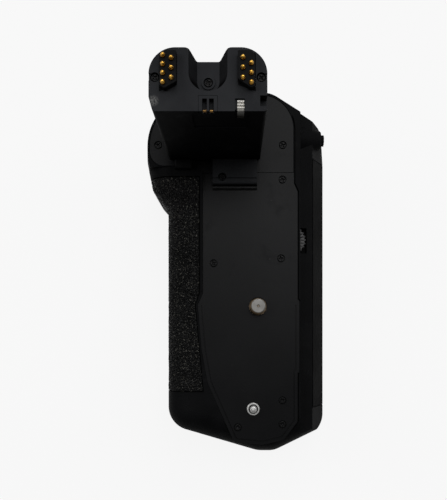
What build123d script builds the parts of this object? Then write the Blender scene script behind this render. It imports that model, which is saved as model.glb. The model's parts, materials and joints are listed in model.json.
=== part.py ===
from build123d import *
import math
import os

os.makedirs("parts", exist_ok=True)

# A vertical battery grip for a reflex camera, in millimetres.
# The origin is the attachment screw's axis on the mating face. +Z points up into the camera,
# +X towards the contact tower and +Y towards the rubber hand grip at the front.

# Clearances
FIT = 0.1
GAP = 0.3
RUN = 0.05
OVERRUN = 1.0

# One battery bay, sized for the camera's own battery
BAY_WIDTH = 38.6
BAY_DEPTH = 57.0
BAY_HEIGHT = 21.0
BAY_COUNT = 2

# Magazine
TRAY_WALL = 1.2
TRAY_FLOOR = 1.2
TRAY_REAR_WALL = 2.5
LOCK_SPACE = 1.0
KNOB_ZONE = 14.2
COVER_THICK = 2.1
COVER_SIDE_MARGIN = 3.0
COVER_END_RADIUS = 6.0
COVER_BOTTOM_MARGIN = 2.6
MAGAZINE_TRAVEL = 70.0

# Contact tower, which fills the camera's battery chamber
TOWER_REACH = 59.5
TOWER_THICK = 20.3
TOWER_WIDTH = 37.8
TOWER_SIDE_REACH = 0.9
TOWER_HEIGHT = 57.8
TOWER_WALL = 1.6
TOWER_BACK_RADIUS = 8.5
TOWER_FRONT_RADIUS = 1.2
HEAD_HEIGHT = 16.7
HEAD_TOP_THICK = 2.4

# Mating plate and end cover
PLATE_THICK = 2.0
PLATE_EDGE_LEDGE = 1.8
COVER_PLATE_THICK = 3.0
PARTING_SETBACK = 5.2
PARTING_GAP = 0.2

# Body
WALL = 2.2
FRONT_WALL = 2.4
GEAR_BAY_DEPTH = 15.0
DECK_THICK = 1.4
BOTTOM_THICK = 4.9
MAGAZINE_SETBACK = 1.3
FAR_MARGIN = 21.4
END_MARGIN = 8.4
TOWER_FRONT_MARGIN = 9.3
REAR_REACH = 28.3
RIM_REACH = 17.3
RIM_THICK = 1.2
RIM_GROOVE = 0.6
RIM_GROOVE_DEPTH = 1.2
LEDGE_DROP = 3.2
LEDGE_FALL = 0.6
LEDGE_REACH = 22.6
SLOPE_DROP = 15.0
BOTTOM_RADIUS = 4.0
FRONT_CORNER_RADIUS = 10.2
SHOULDER_SHARE = 0.93
END_LEAN = 1.3
END_LEAN_DEPTH = 10.0
GRIP_THICK = 1.2

# Attachment screw, locating pin and tripod socket, all to the camera standard
SCREW_RADIUS = 3.175
SCREW_HEIGHT = 4.6
SHAFT_RADIUS = 2.9
PIN_END_REACH = 18.3
PIN_Y = 1.9
PIN_RADIUS = 2.0
PIN_HEIGHT = 3.4
SOCKET_RADIUS = 3.175
SOCKET_DEPTH = 4.5

# Gear train between the thumbwheel and the attachment screw
GEAR_MODULE = 0.8
SCREW_TEETH = 24
IDLER_TEETH = 20
WHEEL_TEETH = 12
GEAR_THICK = 3.0
GEAR_TOP_DEPTH = 8.0
BACKLASH_SHARE = 0.08
PRESSURE_ANGLE = 20
TRAIN_ANGLE = -26.8
AXLE_RADIUS = 1.0
WHEEL_RADIUS = 6.0
WHEEL_THICK = 4.5
WHEEL_RIBS = 24
WHEEL_RIB_DEPTH = 0.6
WHEEL_WINDOW = 10.4

# Heights, counted down from the mating face
TRAY_HEIGHT = TRAY_FLOOR + BAY_HEIGHT + LOCK_SPACE
Z_DECK_TOP = -(PLATE_THICK + GEAR_BAY_DEPTH)
Z_CAVITY_TOP = Z_DECK_TOP - DECK_THICK
Z_TRAY_TOP = Z_CAVITY_TOP - GAP
Z_TRAY_LOW = Z_TRAY_TOP - TRAY_HEIGHT
Z_CAVITY_LOW = Z_TRAY_LOW - GAP
Z_BASE = Z_CAVITY_LOW - BOTTOM_THICK

# Lengths along X
TRAY_LENGTH = BAY_COUNT * BAY_WIDTH + (BAY_COUNT + 2) * TRAY_WALL + KNOB_ZONE
TOWER_BACK = TOWER_REACH + TOWER_THICK
X_CAVITY_END = TOWER_REACH - MAGAZINE_SETBACK
X_TRAY_END = X_CAVITY_END - GAP
X_TRAY_FAR = X_TRAY_END - TRAY_LENGTH
X_CAVITY_FAR = X_TRAY_FAR - GAP
X_FAR = X_CAVITY_FAR - FAR_MARGIN
X_END = TOWER_BACK + END_MARGIN
X_PARTING = TOWER_REACH - PARTING_SETBACK
BODY_LENGTH = X_END - X_FAR
PIN_X = X_FAR + PIN_END_REACH

# Lengths along Y
Y_REAR = -REAR_REACH
Y_COVER_IN = Y_REAR + COVER_THICK
Y_BAY_REAR = Y_COVER_IN + TRAY_REAR_WALL
Y_BAY_FRONT = Y_BAY_REAR + BAY_DEPTH
Y_TRAY_FRONT = Y_BAY_FRONT + TRAY_WALL
Y_CAVITY_FRONT = Y_TRAY_FRONT + GAP
Y_GRIP = Y_CAVITY_FRONT + FRONT_WALL
Y_TOWER_REAR = -TOWER_SIDE_REACH
Y_TOWER_FRONT = Y_TOWER_REAR + TOWER_WIDTH
Y_TOWER_MIDDLE = (Y_TOWER_REAR + Y_TOWER_FRONT) / 2
Y_FRONT = Y_TOWER_FRONT + TOWER_FRONT_MARGIN
Y_PLATE_REAR = -(RIM_REACH - RIM_THICK)
BODY_DEPTH = Y_FRONT - Y_REAR
SHOULDER_RADIUS = SHOULDER_SHARE * FRONT_CORNER_RADIUS


# Shared construction helpers

def box(x0, x1, y0, y1, z0, z1):
    """A block between two opposite corners."""
    size = (abs(x1 - x0), abs(y1 - y0), abs(z1 - z0))
    return Pos((x0 + x1) / 2, (y0 + y1) / 2, (z0 + z1) / 2) * Box(*size)


def post(x, y, z0, z1, radius):
    """An upright round post."""
    return Pos(x, y, (z0 + z1) / 2) * Cylinder(radius, abs(z1 - z0))


def rounded_face(corners):
    """A closed outline of straight sides, each corner (x, y, radius)."""
    points = [(x, y) for x, y, _ in corners]
    radii = [radius for _, _, radius in corners]
    return make_face(FilletPolyline(*points, radius=radii, close=True))


def prism(face, z0, z1):
    """A plan outline raised between two heights."""
    return extrude(Pos(0, 0, min(z0, z1)) * face, abs(z1 - z0))


def along_x(face, x0, x1):
    """A (y, z) section run along X between two stations."""
    return extrude(Plane.YZ.offset(min(x0, x1)) * face, abs(x1 - x0))


def along_y(face, y0, y1):
    """An (x, z) section run along Y between two stations."""
    return extrude(Plane.XZ.offset(-max(y0, y1)) * face, abs(y1 - y0))


def along(share):
    """X at a share of the body's length from its far end."""
    return X_FAR + share * BODY_LENGTH


def across(share):
    """Y at a share of the body's depth from its rear."""
    return Y_REAR + share * BODY_DEPTH


def facing(x, y, z, degrees):
    """A frame at a point whose Z axis looks outwards, level, at an angle from +X."""
    turn = math.radians(degrees)
    return Plane(origin=(x, y, z), x_dir=(0, 0, 1), z_dir=(math.cos(turn), math.sin(turn), 0)).location


# Body outlines

FAR_CORNER_RADIUS = 12.0
FAR_REAR_RADIUS = 10.0
REAR_FAR_RADIUS = 7.0
STEP_RADIUS = 6.0
TOE_RADIUS = 6.0
BULGE_RADIUS = 15.0
END_FRONT_RADIUS = 23.0
END_REAR_RADIUS = 12.0
REAR_END_RADIUS = 5.0
FRONT_FAR_SHARE = 0.0736
BULGE_REACH_SHARES = (2.052, 1.735, 1.183)
TOE_BULGE_SHARE = 0.711
END_REAR_SHARE = 0.306
REAR_END_SHARE = 0.907
REAR_TAPER_SHARE = 0.815
REAR_TAPER = 1.1
REAR_TAPER_RADIUS = 20.0
REAR_FAR_SHARE = 0.0702
FAR_DEPTH_SHARES = (0.286, 0.38)


def body_face():
    """The body seen from above: straight rear, bulging front end and slanted rear corner."""
    bulge = [X_END - share * END_FRONT_RADIUS for share in BULGE_REACH_SHARES]
    return rounded_face([
        (X_FAR, across(FAR_DEPTH_SHARES[1]), FAR_CORNER_RADIUS),
        (along(FRONT_FAR_SHARE), Y_GRIP, FRONT_CORNER_RADIUS),
        (bulge[0], Y_GRIP, STEP_RADIUS),
        (bulge[1], Y_GRIP + TOE_BULGE_SHARE * (Y_FRONT - Y_GRIP), TOE_RADIUS),
        (bulge[2], Y_FRONT, BULGE_RADIUS),
        (X_END, Y_FRONT, END_FRONT_RADIUS),
        (X_END, across(END_REAR_SHARE), END_REAR_RADIUS),
        (along(REAR_END_SHARE), Y_REAR + REAR_TAPER, REAR_END_RADIUS),
        (along(REAR_TAPER_SHARE), Y_REAR, REAR_TAPER_RADIUS),
        (along(REAR_FAR_SHARE), Y_REAR, REAR_FAR_RADIUS),
        (X_FAR, across(FAR_DEPTH_SHARES[0]), FAR_REAR_RADIUS),
    ])


PLATE_FAR_MARGIN = 3.7
PLATE_REAR_FAR_RADIUS = 3.0
PLATE_FAR_RADIUS = 4.0
PLATE_FRONT_FAR_RADIUS = 3.0
PLATE_FRONT_RADIUS = 8.0
PLATE_JOG_RADIUS = 0.8
PLATE_JOG = 0.7
PLATE_SLANT_SETBACK = 4.3
PLATE_SLANT_LENGTH = 3.3
PLATE_SLANT_RADIUS = 1.0
PLATE_TAPER_SHARES = ((0.0095, 0.51), (0.229, 0.655), (0.355, 0.688), (0.514, 0.708), (0.556, 0.68))
PLATE_JOG_SHARES = (0.266, 0.529)
PLATE_REAR_FAR_SHARE = 0.086
PLATE_FAR_SHARES = (0.018, 0.239, 0.353)


def plate_along(share):
    """X at a share of the plate's length from its far end."""
    far = X_FAR + PLATE_FAR_MARGIN
    return far + share * (X_PARTING - far)


def plate_face():
    """The mating plate's outline, tapering along the front towards the far end."""
    far = X_FAR + PLATE_FAR_MARGIN
    jog_radii = (PLATE_JOG_RADIUS, PLATE_JOG_RADIUS)
    radii = (PLATE_FRONT_FAR_RADIUS, PLATE_FRONT_RADIUS, PLATE_FRONT_RADIUS) + jog_radii
    front = [(plate_along(u), across(v), r) for (u, v), r in zip(PLATE_TAPER_SHARES, radii)]
    jog_y = Y_PLATE_REAR - PLATE_JOG
    jog_far, jog_near = (plate_along(share) for share in PLATE_JOG_SHARES)
    return rounded_face(front + [
        (X_PARTING, across(PLATE_TAPER_SHARES[-1][1]), 0),
        (X_PARTING, -COVER_REAR_REACH, 0),
        (X_PARTING - PLATE_SLANT_SETBACK, -COVER_REAR_REACH, PLATE_SLANT_RADIUS),
        (X_PARTING - PLATE_SLANT_SETBACK - PLATE_SLANT_LENGTH, Y_PLATE_REAR, PLATE_SLANT_RADIUS),
        (jog_near + PLATE_JOG, Y_PLATE_REAR, 0),
        (jog_near, jog_y, 0),
        (jog_far, jog_y, 0),
        (jog_far, Y_PLATE_REAR, 0),
        (plate_along(PLATE_REAR_FAR_SHARE), Y_PLATE_REAR, PLATE_REAR_FAR_RADIUS),
        (plate_along(PLATE_FAR_SHARES[0]), across(PLATE_FAR_SHARES[1]), PLATE_FAR_RADIUS),
        (far, across(PLATE_FAR_SHARES[2]), PLATE_FAR_RADIUS),
    ])


COVER_MARGIN = 2.1
COVER_REAR_REACH = 14.6
COVER_REAR_RADIUS = 14.0
COVER_FRONT_RADIUS = END_FRONT_RADIUS - COVER_MARGIN
COVER_TOE_RADIUS = 6.0
COVER_TOE_SETBACK = 2.5
COVER_NECK = 3.0
COVER_NECK_RADIUS = 1.5


def cover_face(inset=0):
    """The end cover's outline round the foot of the tower, drawn in by inset."""
    near = X_PARTING + PARTING_GAP + inset
    toe = near + COVER_TOE_SETBACK
    margin = COVER_MARGIN + inset
    rear = -COVER_REAR_REACH + inset
    neck = across(PLATE_TAPER_SHARES[-1][1])
    return rounded_face([
        (near, rear, 0),
        (X_END - margin, rear, COVER_REAR_RADIUS - inset),
        (X_END - margin, Y_FRONT - margin, COVER_FRONT_RADIUS - inset),
        (toe, Y_FRONT - margin, COVER_TOE_RADIUS - inset),
        (toe, neck + COVER_NECK, COVER_NECK_RADIUS),
        (near, neck, 0),
    ])


def rear_section(reach):
    """What the rear keeps, as (y, z): rim, ledge, slope and upright back, pushed in by reach."""
    top = OVERRUN
    return make_face(Polyline(
        (Y_FRONT + OVERRUN, top),
        (-RIM_REACH, top),
        (-RIM_REACH, -LEDGE_DROP),
        (-LEDGE_REACH, -LEDGE_DROP - LEDGE_FALL),
        (Y_REAR + reach, -SLOPE_DROP),
        (Y_REAR + reach, Z_BASE - OVERRUN),
        (Y_FRONT + OVERRUN, Z_BASE - OVERRUN),
        close=True,
    ))


def outer_form(inset):
    """The closed outer shape of the body, or the same shape drawn in by inset."""
    plan = offset(body_face(), -inset) if inset else body_face()
    low = Z_BASE + inset
    solid = prism(plan, low, -inset)
    if not inset:
        solid = fillet(solid.faces().sort_by(Axis.Z)[0].edges(), BOTTOM_RADIUS)
    split_x = X_PARTING + COVER_TOE_SETBACK
    side = box(X_FAR - OVERRUN, split_x, Y_REAR - OVERRUN, Y_FRONT + OVERRUN, low - OVERRUN, OVERRUN)
    grip_half = solid & side
    end_half = solid - side
    limit = across(FAR_DEPTH_SHARES[1])
    top_edges = [e for e in grip_half.faces().sort_by(Axis.Z)[-1].edges() if e.center().X < split_x - GAP]
    front_edges = [e for e in top_edges if min(v.Y for v in e.vertices()) > limit]
    grip_half = fillet(front_edges, SHOULDER_RADIUS - inset)
    roof = end_half.faces().sort_by(Axis.Z)[-1]
    rim_edges = [e for e in roof.edges() if e.center().X > split_x + GAP]
    end_half = chamfer(rim_edges, END_LEAN, END_LEAN_DEPTH, reference=roof)
    return grip_half + end_half


# Small fasteners

SCREW_HEAD_RADIUS = 1.5
SCREW_HEAD_THICK = 0.8
SCREW_SHANK_RADIUS = 0.9
SCREW_SHANK_LENGTH = 4.0
SCREW_SINK = 0.15
SCREW_HEAD_CLEAR = 0.15
SMALL_HEAD_RADIUS = 1.4
CROSS_SHARE = 0.65
CROSS_WIDTH = 0.45
CROSS_DEPTH = 0.4


def cross_screw(x, y, z, length, head=SCREW_HEAD_RADIUS):
    """A flat cross-head screw whose head lies just under z."""
    top = z - SCREW_SINK
    body = post(x, y, top - SCREW_HEAD_THICK, top, head)
    body += post(x, y, top - length, top - SCREW_HEAD_THICK, SCREW_SHANK_RADIUS)
    reach = head * CROSS_SHARE
    low = top - CROSS_DEPTH
    high = top + OVERRUN
    body -= box(x - reach, x + reach, y - CROSS_WIDTH / 2, y + CROSS_WIDTH / 2, low, high)
    body -= box(x - CROSS_WIDTH / 2, x + CROSS_WIDTH / 2, y - reach, y + reach, low, high)
    return body


def screw_well(x, y, z, length, head=SCREW_HEAD_RADIUS):
    """The counterbored hole that takes a cross-head screw."""
    top = z - SCREW_SINK
    hole = post(x, y, top - SCREW_HEAD_THICK, z + OVERRUN, head + SCREW_HEAD_CLEAR)
    return hole + post(x, y, top - length - OVERRUN, z, SCREW_SHANK_RADIUS + FIT / 2)


# Places of the plate's screws, as shares of the plate's length and of the body's depth
PLATE_SCREW_SHARES = (
    (0.975, 0.246), (0.163, 0.246), (0.075, 0.246), (0.064, 0.490),
)
BRACKET_REAR_X = 19.5
BRACKET_REAR_INSET = 6.7
BRACKET_FRONT_X = 17.5
BRACKET_FRONT_INSET = 4.36
BRACKET_SCREWS = (
    (BRACKET_REAR_X, Y_PLATE_REAR + BRACKET_REAR_INSET),
    (BRACKET_FRONT_X, across(PLATE_TAPER_SHARES[-1][1]) - BRACKET_FRONT_INSET),
)
COVER_SCREW_SHARE = 0.3
COVER_SCREW_INSET = 4.5
COVER_SCREW_X = TOWER_REACH + COVER_SCREW_SHARE * TOWER_THICK
COVER_SCREW_REAR_Y = -COVER_REAR_REACH + COVER_SCREW_INSET
COVER_SCREW_FRONT_Y = (Y_TOWER_FRONT + Y_FRONT - COVER_MARGIN) / 2


def plate_screw_places():
    """Centres of the screws that hold the plate to the housing."""
    return [(plate_along(u), across(v)) for u, v in PLATE_SCREW_SHARES]


def cover_screw_places():
    """Centres of the two screws beside the tower's foot."""
    return [(COVER_SCREW_X, COVER_SCREW_REAR_Y), (COVER_SCREW_X, COVER_SCREW_FRONT_Y)]


# Gear train

def pitch_radius(teeth):
    """Pitch radius of a gear of the train."""
    return GEAR_MODULE * teeth / 2


def train_point(distance):
    """A point on the line of gear centres, at a distance from the attachment screw."""
    turn = math.radians(TRAIN_ANGLE)
    return (distance * math.cos(turn), distance * math.sin(turn))


IDLER_DISTANCE = pitch_radius(SCREW_TEETH) + pitch_radius(IDLER_TEETH)
IDLER_CENTRE = train_point(IDLER_DISTANCE)
WHEEL_CENTRE = train_point(IDLER_DISTANCE + pitch_radius(IDLER_TEETH) + pitch_radius(WHEEL_TEETH))
Z_WHEEL_TOP = -(PLATE_THICK + GAP)
Z_WHEEL_LOW = Z_WHEEL_TOP - WHEEL_THICK
Z_GEAR_TOP = -GEAR_TOP_DEPTH
Z_GEAR_LOW = Z_GEAR_TOP - GEAR_THICK
ADDENDUM_SHARE = 1.0
DEDENDUM_SHARE = 1.25
FLANK_STEPS = 3


def flank_angle(radius, base):
    """Involute function at a radius, for a gear with this base circle."""
    if radius <= base:
        return 0.0
    slope = math.acos(base / radius)
    return math.tan(slope) - slope


def gear_face(teeth, phase):
    """An involute gear's outline with one tooth's middle at the phase angle in degrees."""
    pitch = pitch_radius(teeth)
    base = pitch * math.cos(math.radians(PRESSURE_ANGLE))
    tip = pitch + ADDENDUM_SHARE * GEAR_MODULE
    root = pitch - DEDENDUM_SHARE * GEAR_MODULE
    half = math.pi / (2 * teeth) * (1 - BACKLASH_SHARE) + flank_angle(pitch, base)
    low = max(root, base)
    radii = [low + (tip - low) * step / FLANK_STEPS for step in range(FLANK_STEPS + 1)]
    points = []
    for tooth in range(teeth):
        middle = math.radians(phase) + 2 * math.pi * tooth / teeth
        rise = [(root, -half)] + [(r, flank_angle(r, base) - half) for r in radii]
        fall = [(r, -turn) for r, turn in reversed(rise)]
        for r, turn in rise + fall:
            points.append((r * math.cos(middle + turn), r * math.sin(middle + turn)))
    return make_face(Polyline(*points, close=True))


def gear(centre, teeth, phase):
    """A gear of the train in its place."""
    return Pos(centre[0], centre[1], 0) * prism(gear_face(teeth, phase), Z_GEAR_LOW, Z_GEAR_TOP)


def gear_phases():
    """Phases that put a tooth of one gear in a gap of the next along the line of centres."""
    screw = TRAIN_ANGLE
    idler_pitch = 360 / IDLER_TEETH
    idler = TRAIN_ANGLE + 180 + idler_pitch / 2
    turned = (TRAIN_ANGLE - idler) / idler_pitch
    tooth_off = (turned - math.floor(turned)) * idler_pitch
    wheel_pitch = 360 / WHEEL_TEETH
    wheel = TRAIN_ANGLE + 180 + wheel_pitch / 2 - tooth_off * IDLER_TEETH / WHEEL_TEETH
    return screw, idler, wheel


SCREW_PHASE, IDLER_PHASE, WHEEL_PHASE = gear_phases()


RIB_SHARES = (0.0, 0.22, 0.5, 0.78)


def ribbed_face(radius, ribs, depth):
    """A wheel's outline with flat-topped ribs and slanted grooves."""
    points = []
    for rib in range(ribs):
        for share, reach in zip(RIB_SHARES, (radius, radius, radius - depth, radius - depth)):
            turn = 2 * math.pi * (rib + share) / ribs
            points.append((reach * math.cos(turn), reach * math.sin(turn)))
    return make_face(Polyline(*points, close=True))


def thumbwheel():
    """Ribbed wheel and its gear on one hub."""
    x, y = WHEEL_CENTRE
    profile = ribbed_face(WHEEL_RADIUS, WHEEL_RIBS, WHEEL_RIB_DEPTH)
    rim = Pos(x, y, 0) * prism(profile, Z_WHEEL_LOW, Z_WHEEL_TOP)
    hub = post(x, y, Z_GEAR_TOP, Z_WHEEL_LOW, pitch_radius(WHEEL_TEETH) - DEDENDUM_SHARE * GEAR_MODULE)
    solid = rim + hub + gear(WHEEL_CENTRE, WHEEL_TEETH, WHEEL_PHASE)
    return solid - post(x, y, Z_GEAR_LOW - OVERRUN, OVERRUN, AXLE_RADIUS + RUN)


def idler_gear():
    """Gear between the thumbwheel and the attachment screw."""
    solid = gear(IDLER_CENTRE, IDLER_TEETH, IDLER_PHASE)
    return solid - post(*IDLER_CENTRE, Z_GEAR_LOW - OVERRUN, OVERRUN, AXLE_RADIUS + RUN)


def screw_gear():
    """Gear fixed on the attachment screw's shaft."""
    return gear((0, 0), SCREW_TEETH, SCREW_PHASE) - post(0, 0, Z_GEAR_LOW - OVERRUN, OVERRUN, SHAFT_RADIUS)


SCREW_FLANGE_RADIUS = 4.6
SCREW_FLANGE_THICK = 0.9
SCREW_TIP_CHAMFER = 0.5
SCREW_DIMPLE_RADIUS = 0.9
SCREW_DIMPLE_DEPTH = 0.8
SHAFT_TAIL = 1.2


def attachment_screw():
    """Captive tripod screw: chamfered thread, retaining flange and shaft."""
    thread = post(0, 0, 0, SCREW_HEIGHT, SCREW_RADIUS)
    thread = chamfer(thread.faces().sort_by(Axis.Z)[-1].edges(), SCREW_TIP_CHAMFER)
    thread -= post(0, 0, SCREW_HEIGHT - SCREW_DIMPLE_DEPTH, SCREW_HEIGHT + OVERRUN, SCREW_DIMPLE_RADIUS)
    flange_top = -(PLATE_THICK + GAP)
    flange = post(0, 0, flange_top - SCREW_FLANGE_THICK, flange_top, SCREW_FLANGE_RADIUS)
    return thread + flange + post(0, 0, Z_GEAR_LOW - SHAFT_TAIL, 0, SHAFT_RADIUS)


BRACKET_THICK = 1.4
BRACKET_TOP_DEPTH = 3.9
BRACKET_BOSS_RADIUS = 2.0
BRACKET_SCREW_LENGTH = 3.4


def bracket_hull():
    """Plan outline of the bracket: a web between the screw's bearing and its two ears."""
    discs = [(0, 0, SCREW_FLANGE_RADIUS + WALL)]
    discs += [(x, y, BRACKET_BOSS_RADIUS) for x, y in BRACKET_SCREWS]
    discs += [(IDLER_CENTRE[0], IDLER_CENTRE[1], AXLE_RADIUS + WALL)]
    edges = []
    for x, y, radius in discs:
        edges += (Pos(x, y) * Circle(radius)).edges()
    return make_hull(edges)


def gear_bracket():
    """Bracket under the plate that carries the screw's bearing and the idler's axle."""
    top = -BRACKET_TOP_DEPTH
    web = prism(bracket_hull(), top - BRACKET_THICK, top)
    web -= post(*WHEEL_CENTRE, top - BRACKET_THICK - OVERRUN, OVERRUN, WHEEL_RADIUS + GAP)
    for x, y in BRACKET_SCREWS:
        web += post(x, y, top - OVERRUN / 2, -PLATE_THICK, BRACKET_BOSS_RADIUS)
        web -= post(x, y, top - BRACKET_THICK - OVERRUN, OVERRUN, SCREW_SHANK_RADIUS + FIT / 2)
    web -= post(0, 0, top - BRACKET_THICK - OVERRUN, OVERRUN, SHAFT_RADIUS + RUN)
    web -= post(*IDLER_CENTRE, top - BRACKET_THICK - OVERRUN, OVERRUN, AXLE_RADIUS)
    return web


AXLE_BOSS_RADIUS = 2.6
AXLE_SEAT_GAP = 0.5


def gear_axles():
    """Two plain pins: one hangs from the bracket, one stands in the housing."""
    idler = post(*IDLER_CENTRE, Z_GEAR_LOW - GAP, -BRACKET_TOP_DEPTH, AXLE_RADIUS)
    wheel = post(*WHEEL_CENTRE, Z_GEAR_LOW - SHAFT_TAIL, -PLATE_THICK, AXLE_RADIUS)
    return [idler, wheel]


# Housing

TOWER_FOOT_FLANGE = 2.2
TOWER_FOOT_THICK = 1.5
END_BAY_MARGIN = 5.0
END_BAY_DEPTH = 40.0
SLOT_CLEAR = 0.45
FLEX_WIDTH = 8.0
FLEX_THICK = 0.3
FLEX_Y = 13.0
FLEX_DEPTH = 6.0
FLEX_SLOT = 1.2
SEAL_WIDTH = 1.2
SEAL_HEIGHT = 1.0
SEAL_MARGIN = 0.8
BOSS_RADIUS = 2.6
THUMB_RIDGE_RADIUS = 7.5
THUMB_RIDGE_END_RADIUS = 3.7
THUMB_RIDGE_ROUND = 0.7


def cover_outline(grow):
    """The magazine cover seen from the rear, as (x, z), grown by a clearance."""
    x0 = X_TRAY_FAR - COVER_SIDE_MARGIN - grow
    x1 = X_TRAY_END + COVER_SIDE_MARGIN + grow
    z0 = Z_BASE + COVER_BOTTOM_MARGIN - grow
    z1 = -LEDGE_DROP + OVERRUN
    return rounded_face([
        (x0, z0, COVER_END_RADIUS), (x1, z0, COVER_END_RADIUS),
        (x1, z1, 0), (x0, z1, 0),
    ])


def cover_section(grow):
    """The magazine cover's wall as (y, z): slope above, upright below."""
    lip = -(LEDGE_REACH + GAP) + grow
    fall = (SLOPE_DROP - LEDGE_DROP - LEDGE_FALL) / (REAR_REACH - LEDGE_REACH)
    z_lip = -(LEDGE_DROP + LEDGE_FALL) - GAP * fall
    drop = COVER_THICK * math.hypot(1, fall)
    return make_face(Polyline(
        (lip, z_lip + grow * fall + grow),
        (lip, z_lip - drop + grow),
        (Y_COVER_IN + grow, z_lip - drop - (REAR_REACH - LEDGE_REACH - GAP - COVER_THICK) * fall),
        (Y_COVER_IN + grow, Z_BASE - OVERRUN),
        (Y_REAR, Z_BASE - OVERRUN),
        (Y_REAR, -SLOPE_DROP),
        close=True,
    ))


def cover_blank(grow):
    """The magazine cover as a solid, grown by a clearance to cut its seat."""
    x0 = X_TRAY_FAR - COVER_SIDE_MARGIN - OVERRUN
    x1 = X_TRAY_END + COVER_SIDE_MARGIN + OVERRUN
    blank = along_x(cover_section(grow), x0, x1)
    return blank & along_y(cover_outline(grow), Y_REAR - OVERRUN, -LEDGE_REACH + OVERRUN)


def seal_ring(grow):
    """A rectangular ring round the magazine's mouth, seated on the cover."""
    x0 = X_CAVITY_FAR - SEAL_MARGIN - SEAL_WIDTH - grow
    x1 = X_CAVITY_END + SEAL_MARGIN + SEAL_WIDTH + grow
    z0 = Z_CAVITY_LOW - SEAL_MARGIN - SEAL_WIDTH - grow
    z1 = Z_CAVITY_TOP + SEAL_MARGIN + SEAL_WIDTH + grow
    width = SEAL_WIDTH + 2 * grow
    y1 = Y_COVER_IN + SEAL_HEIGHT + grow
    ring = box(x0, x1, Y_COVER_IN, y1, z0, z1)
    return ring - box(x0 + width, x1 - width, Y_COVER_IN - OVERRUN, y1 + OVERRUN, z0 + width, z1 - width)


def wheel_room():
    """Space that the thumbwheel, its gear and its window take from the housing."""
    x, y = WHEEL_CENTRE
    room = post(x, y, Z_WHEEL_LOW - GAP, -PLATE_THICK, WHEEL_RADIUS + SLOT_CLEAR)
    tip = pitch_radius(WHEEL_TEETH) + GEAR_MODULE
    room += post(x, y, Z_GEAR_LOW - GAP, -PLATE_THICK, tip + SLOT_CLEAR)
    idler_tip = pitch_radius(IDLER_TEETH) + GEAR_MODULE
    room += post(*IDLER_CENTRE, Z_GEAR_LOW - GAP, Z_GEAR_TOP + GAP, idler_tip + SLOT_CLEAR)
    half = WHEEL_WINDOW / 2
    edge = y - WHEEL_RADIUS - SLOT_CLEAR
    return room + box(x - half, x + half, edge, -RIM_REACH, Z_WHEEL_LOW - GAP, OVERRUN)


def end_bay():
    """Hollow under the end cover for the tower's foot and the control board."""
    solid = prism(cover_face(END_BAY_MARGIN), -END_BAY_DEPTH, -COVER_PLATE_THICK)
    return solid - box(X_FAR, X_CAVITY_END + WALL, Y_REAR, Y_FRONT, Z_BASE, OVERRUN)


def gear_bay():
    """Hollow under the plate for the gears and the main board."""
    plan = offset(plate_face(), -PLATE_EDGE_LEDGE)
    return prism(plan, Z_DECK_TOP, -PLATE_THICK)


def thumb_ridge():
    """Round ridge that tapers from the end cover's edge to the power switch."""
    y0 = Y_REAR + SWITCH_SETBACK
    y1 = -COVER_REAR_REACH - RIM_GROOVE
    cone = Cone(THUMB_RIDGE_RADIUS, THUMB_RIDGE_END_RADIUS, y1 - y0)
    ridge = Pos(SWITCH_X, (y0 + y1) / 2, SWITCH_Z) * Rot(90, 0, 0) * cone
    return fillet(ridge.faces().sort_by(Axis.Y)[0].edges(), THUMB_RIDGE_ROUND)


def front_rib():
    """Low rib of the housing along the straight part of the plate's front edge."""
    front = across(PLATE_TAPER_SHARES[-1][1])
    x0 = plate_along(PLATE_TAPER_SHARES[-1][0]) + RIB_WIDTH
    return box(x0, X_PARTING - GRIP_END_SETBACK, front, front + RIB_WIDTH, -PLATE_THICK, RIB_HEIGHT)


def rim_groove():
    """Narrow groove of the housing behind the rear edges of the plate and the end cover."""
    wide = offset(plate_face(), RIM_GROOVE) + cover_face(-RIM_GROOVE)
    reach = box(X_FAR, X_END, Y_REAR, -COVER_REAR_REACH + RIM_GROOVE, -RIM_GROOVE_DEPTH, OVERRUN)
    return prism(wide, -RIM_GROOVE_DEPTH, OVERRUN) & reach


def housing_bosses():
    """Posts that carry the plate's screws, the wheel's axle and the board."""
    bosses = [post(x, y, Z_DECK_TOP, -PLATE_THICK, BOSS_RADIUS) for x, y in plate_screw_places()]
    bosses.append(post(*WHEEL_CENTRE, Z_DECK_TOP, Z_GEAR_LOW - GAP, AXLE_BOSS_RADIUS))
    bosses.append(post(*IDLER_CENTRE, Z_DECK_TOP, Z_GEAR_LOW - GAP, AXLE_BOSS_RADIUS))
    bosses.append(post(0, 0, Z_DECK_TOP, Z_GEAR_LOW - SHAFT_TAIL - FIT, SHAFT_RADIUS + WALL))
    bosses += [post(x, y, Z_DECK_TOP, Z_BOARD_LOW, BOARD_POST_RADIUS) for x, y in board_posts()]
    return bosses


def housing():
    """Main moulded body with its bays, magazine mouth and control openings."""
    solid = outer_form(0) & along_x(rear_section(0), X_FAR - OVERRUN, X_END + OVERRUN)
    solid += thumb_ridge()
    solid += front_rib()
    solid -= prism(offset(plate_face(), FIT), -PLATE_THICK, OVERRUN)
    solid -= prism(cover_face(-FIT), -COVER_PLATE_THICK, OVERRUN)
    solid -= rim_groove()
    solid -= gear_bay()
    for boss in housing_bosses():
        solid += boss & gear_bay()
    solid -= wheel_room()
    solid -= end_bay()
    solid += dial_pocket()
    solid -= tower_foot_room()
    solid -= box(X_CAVITY_FAR, X_CAVITY_END, Y_REAR - OVERRUN, Y_CAVITY_FRONT, Z_CAVITY_LOW, Z_CAVITY_TOP)
    solid -= cover_blank(GAP)
    solid -= seal_ring(GAP)
    solid -= grip_skin(FIT)
    solid -= flex_slot()
    for cut in screw_cuts():
        solid -= cut
    for cut in control_cuts():
        solid -= cut
    return solid


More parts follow.
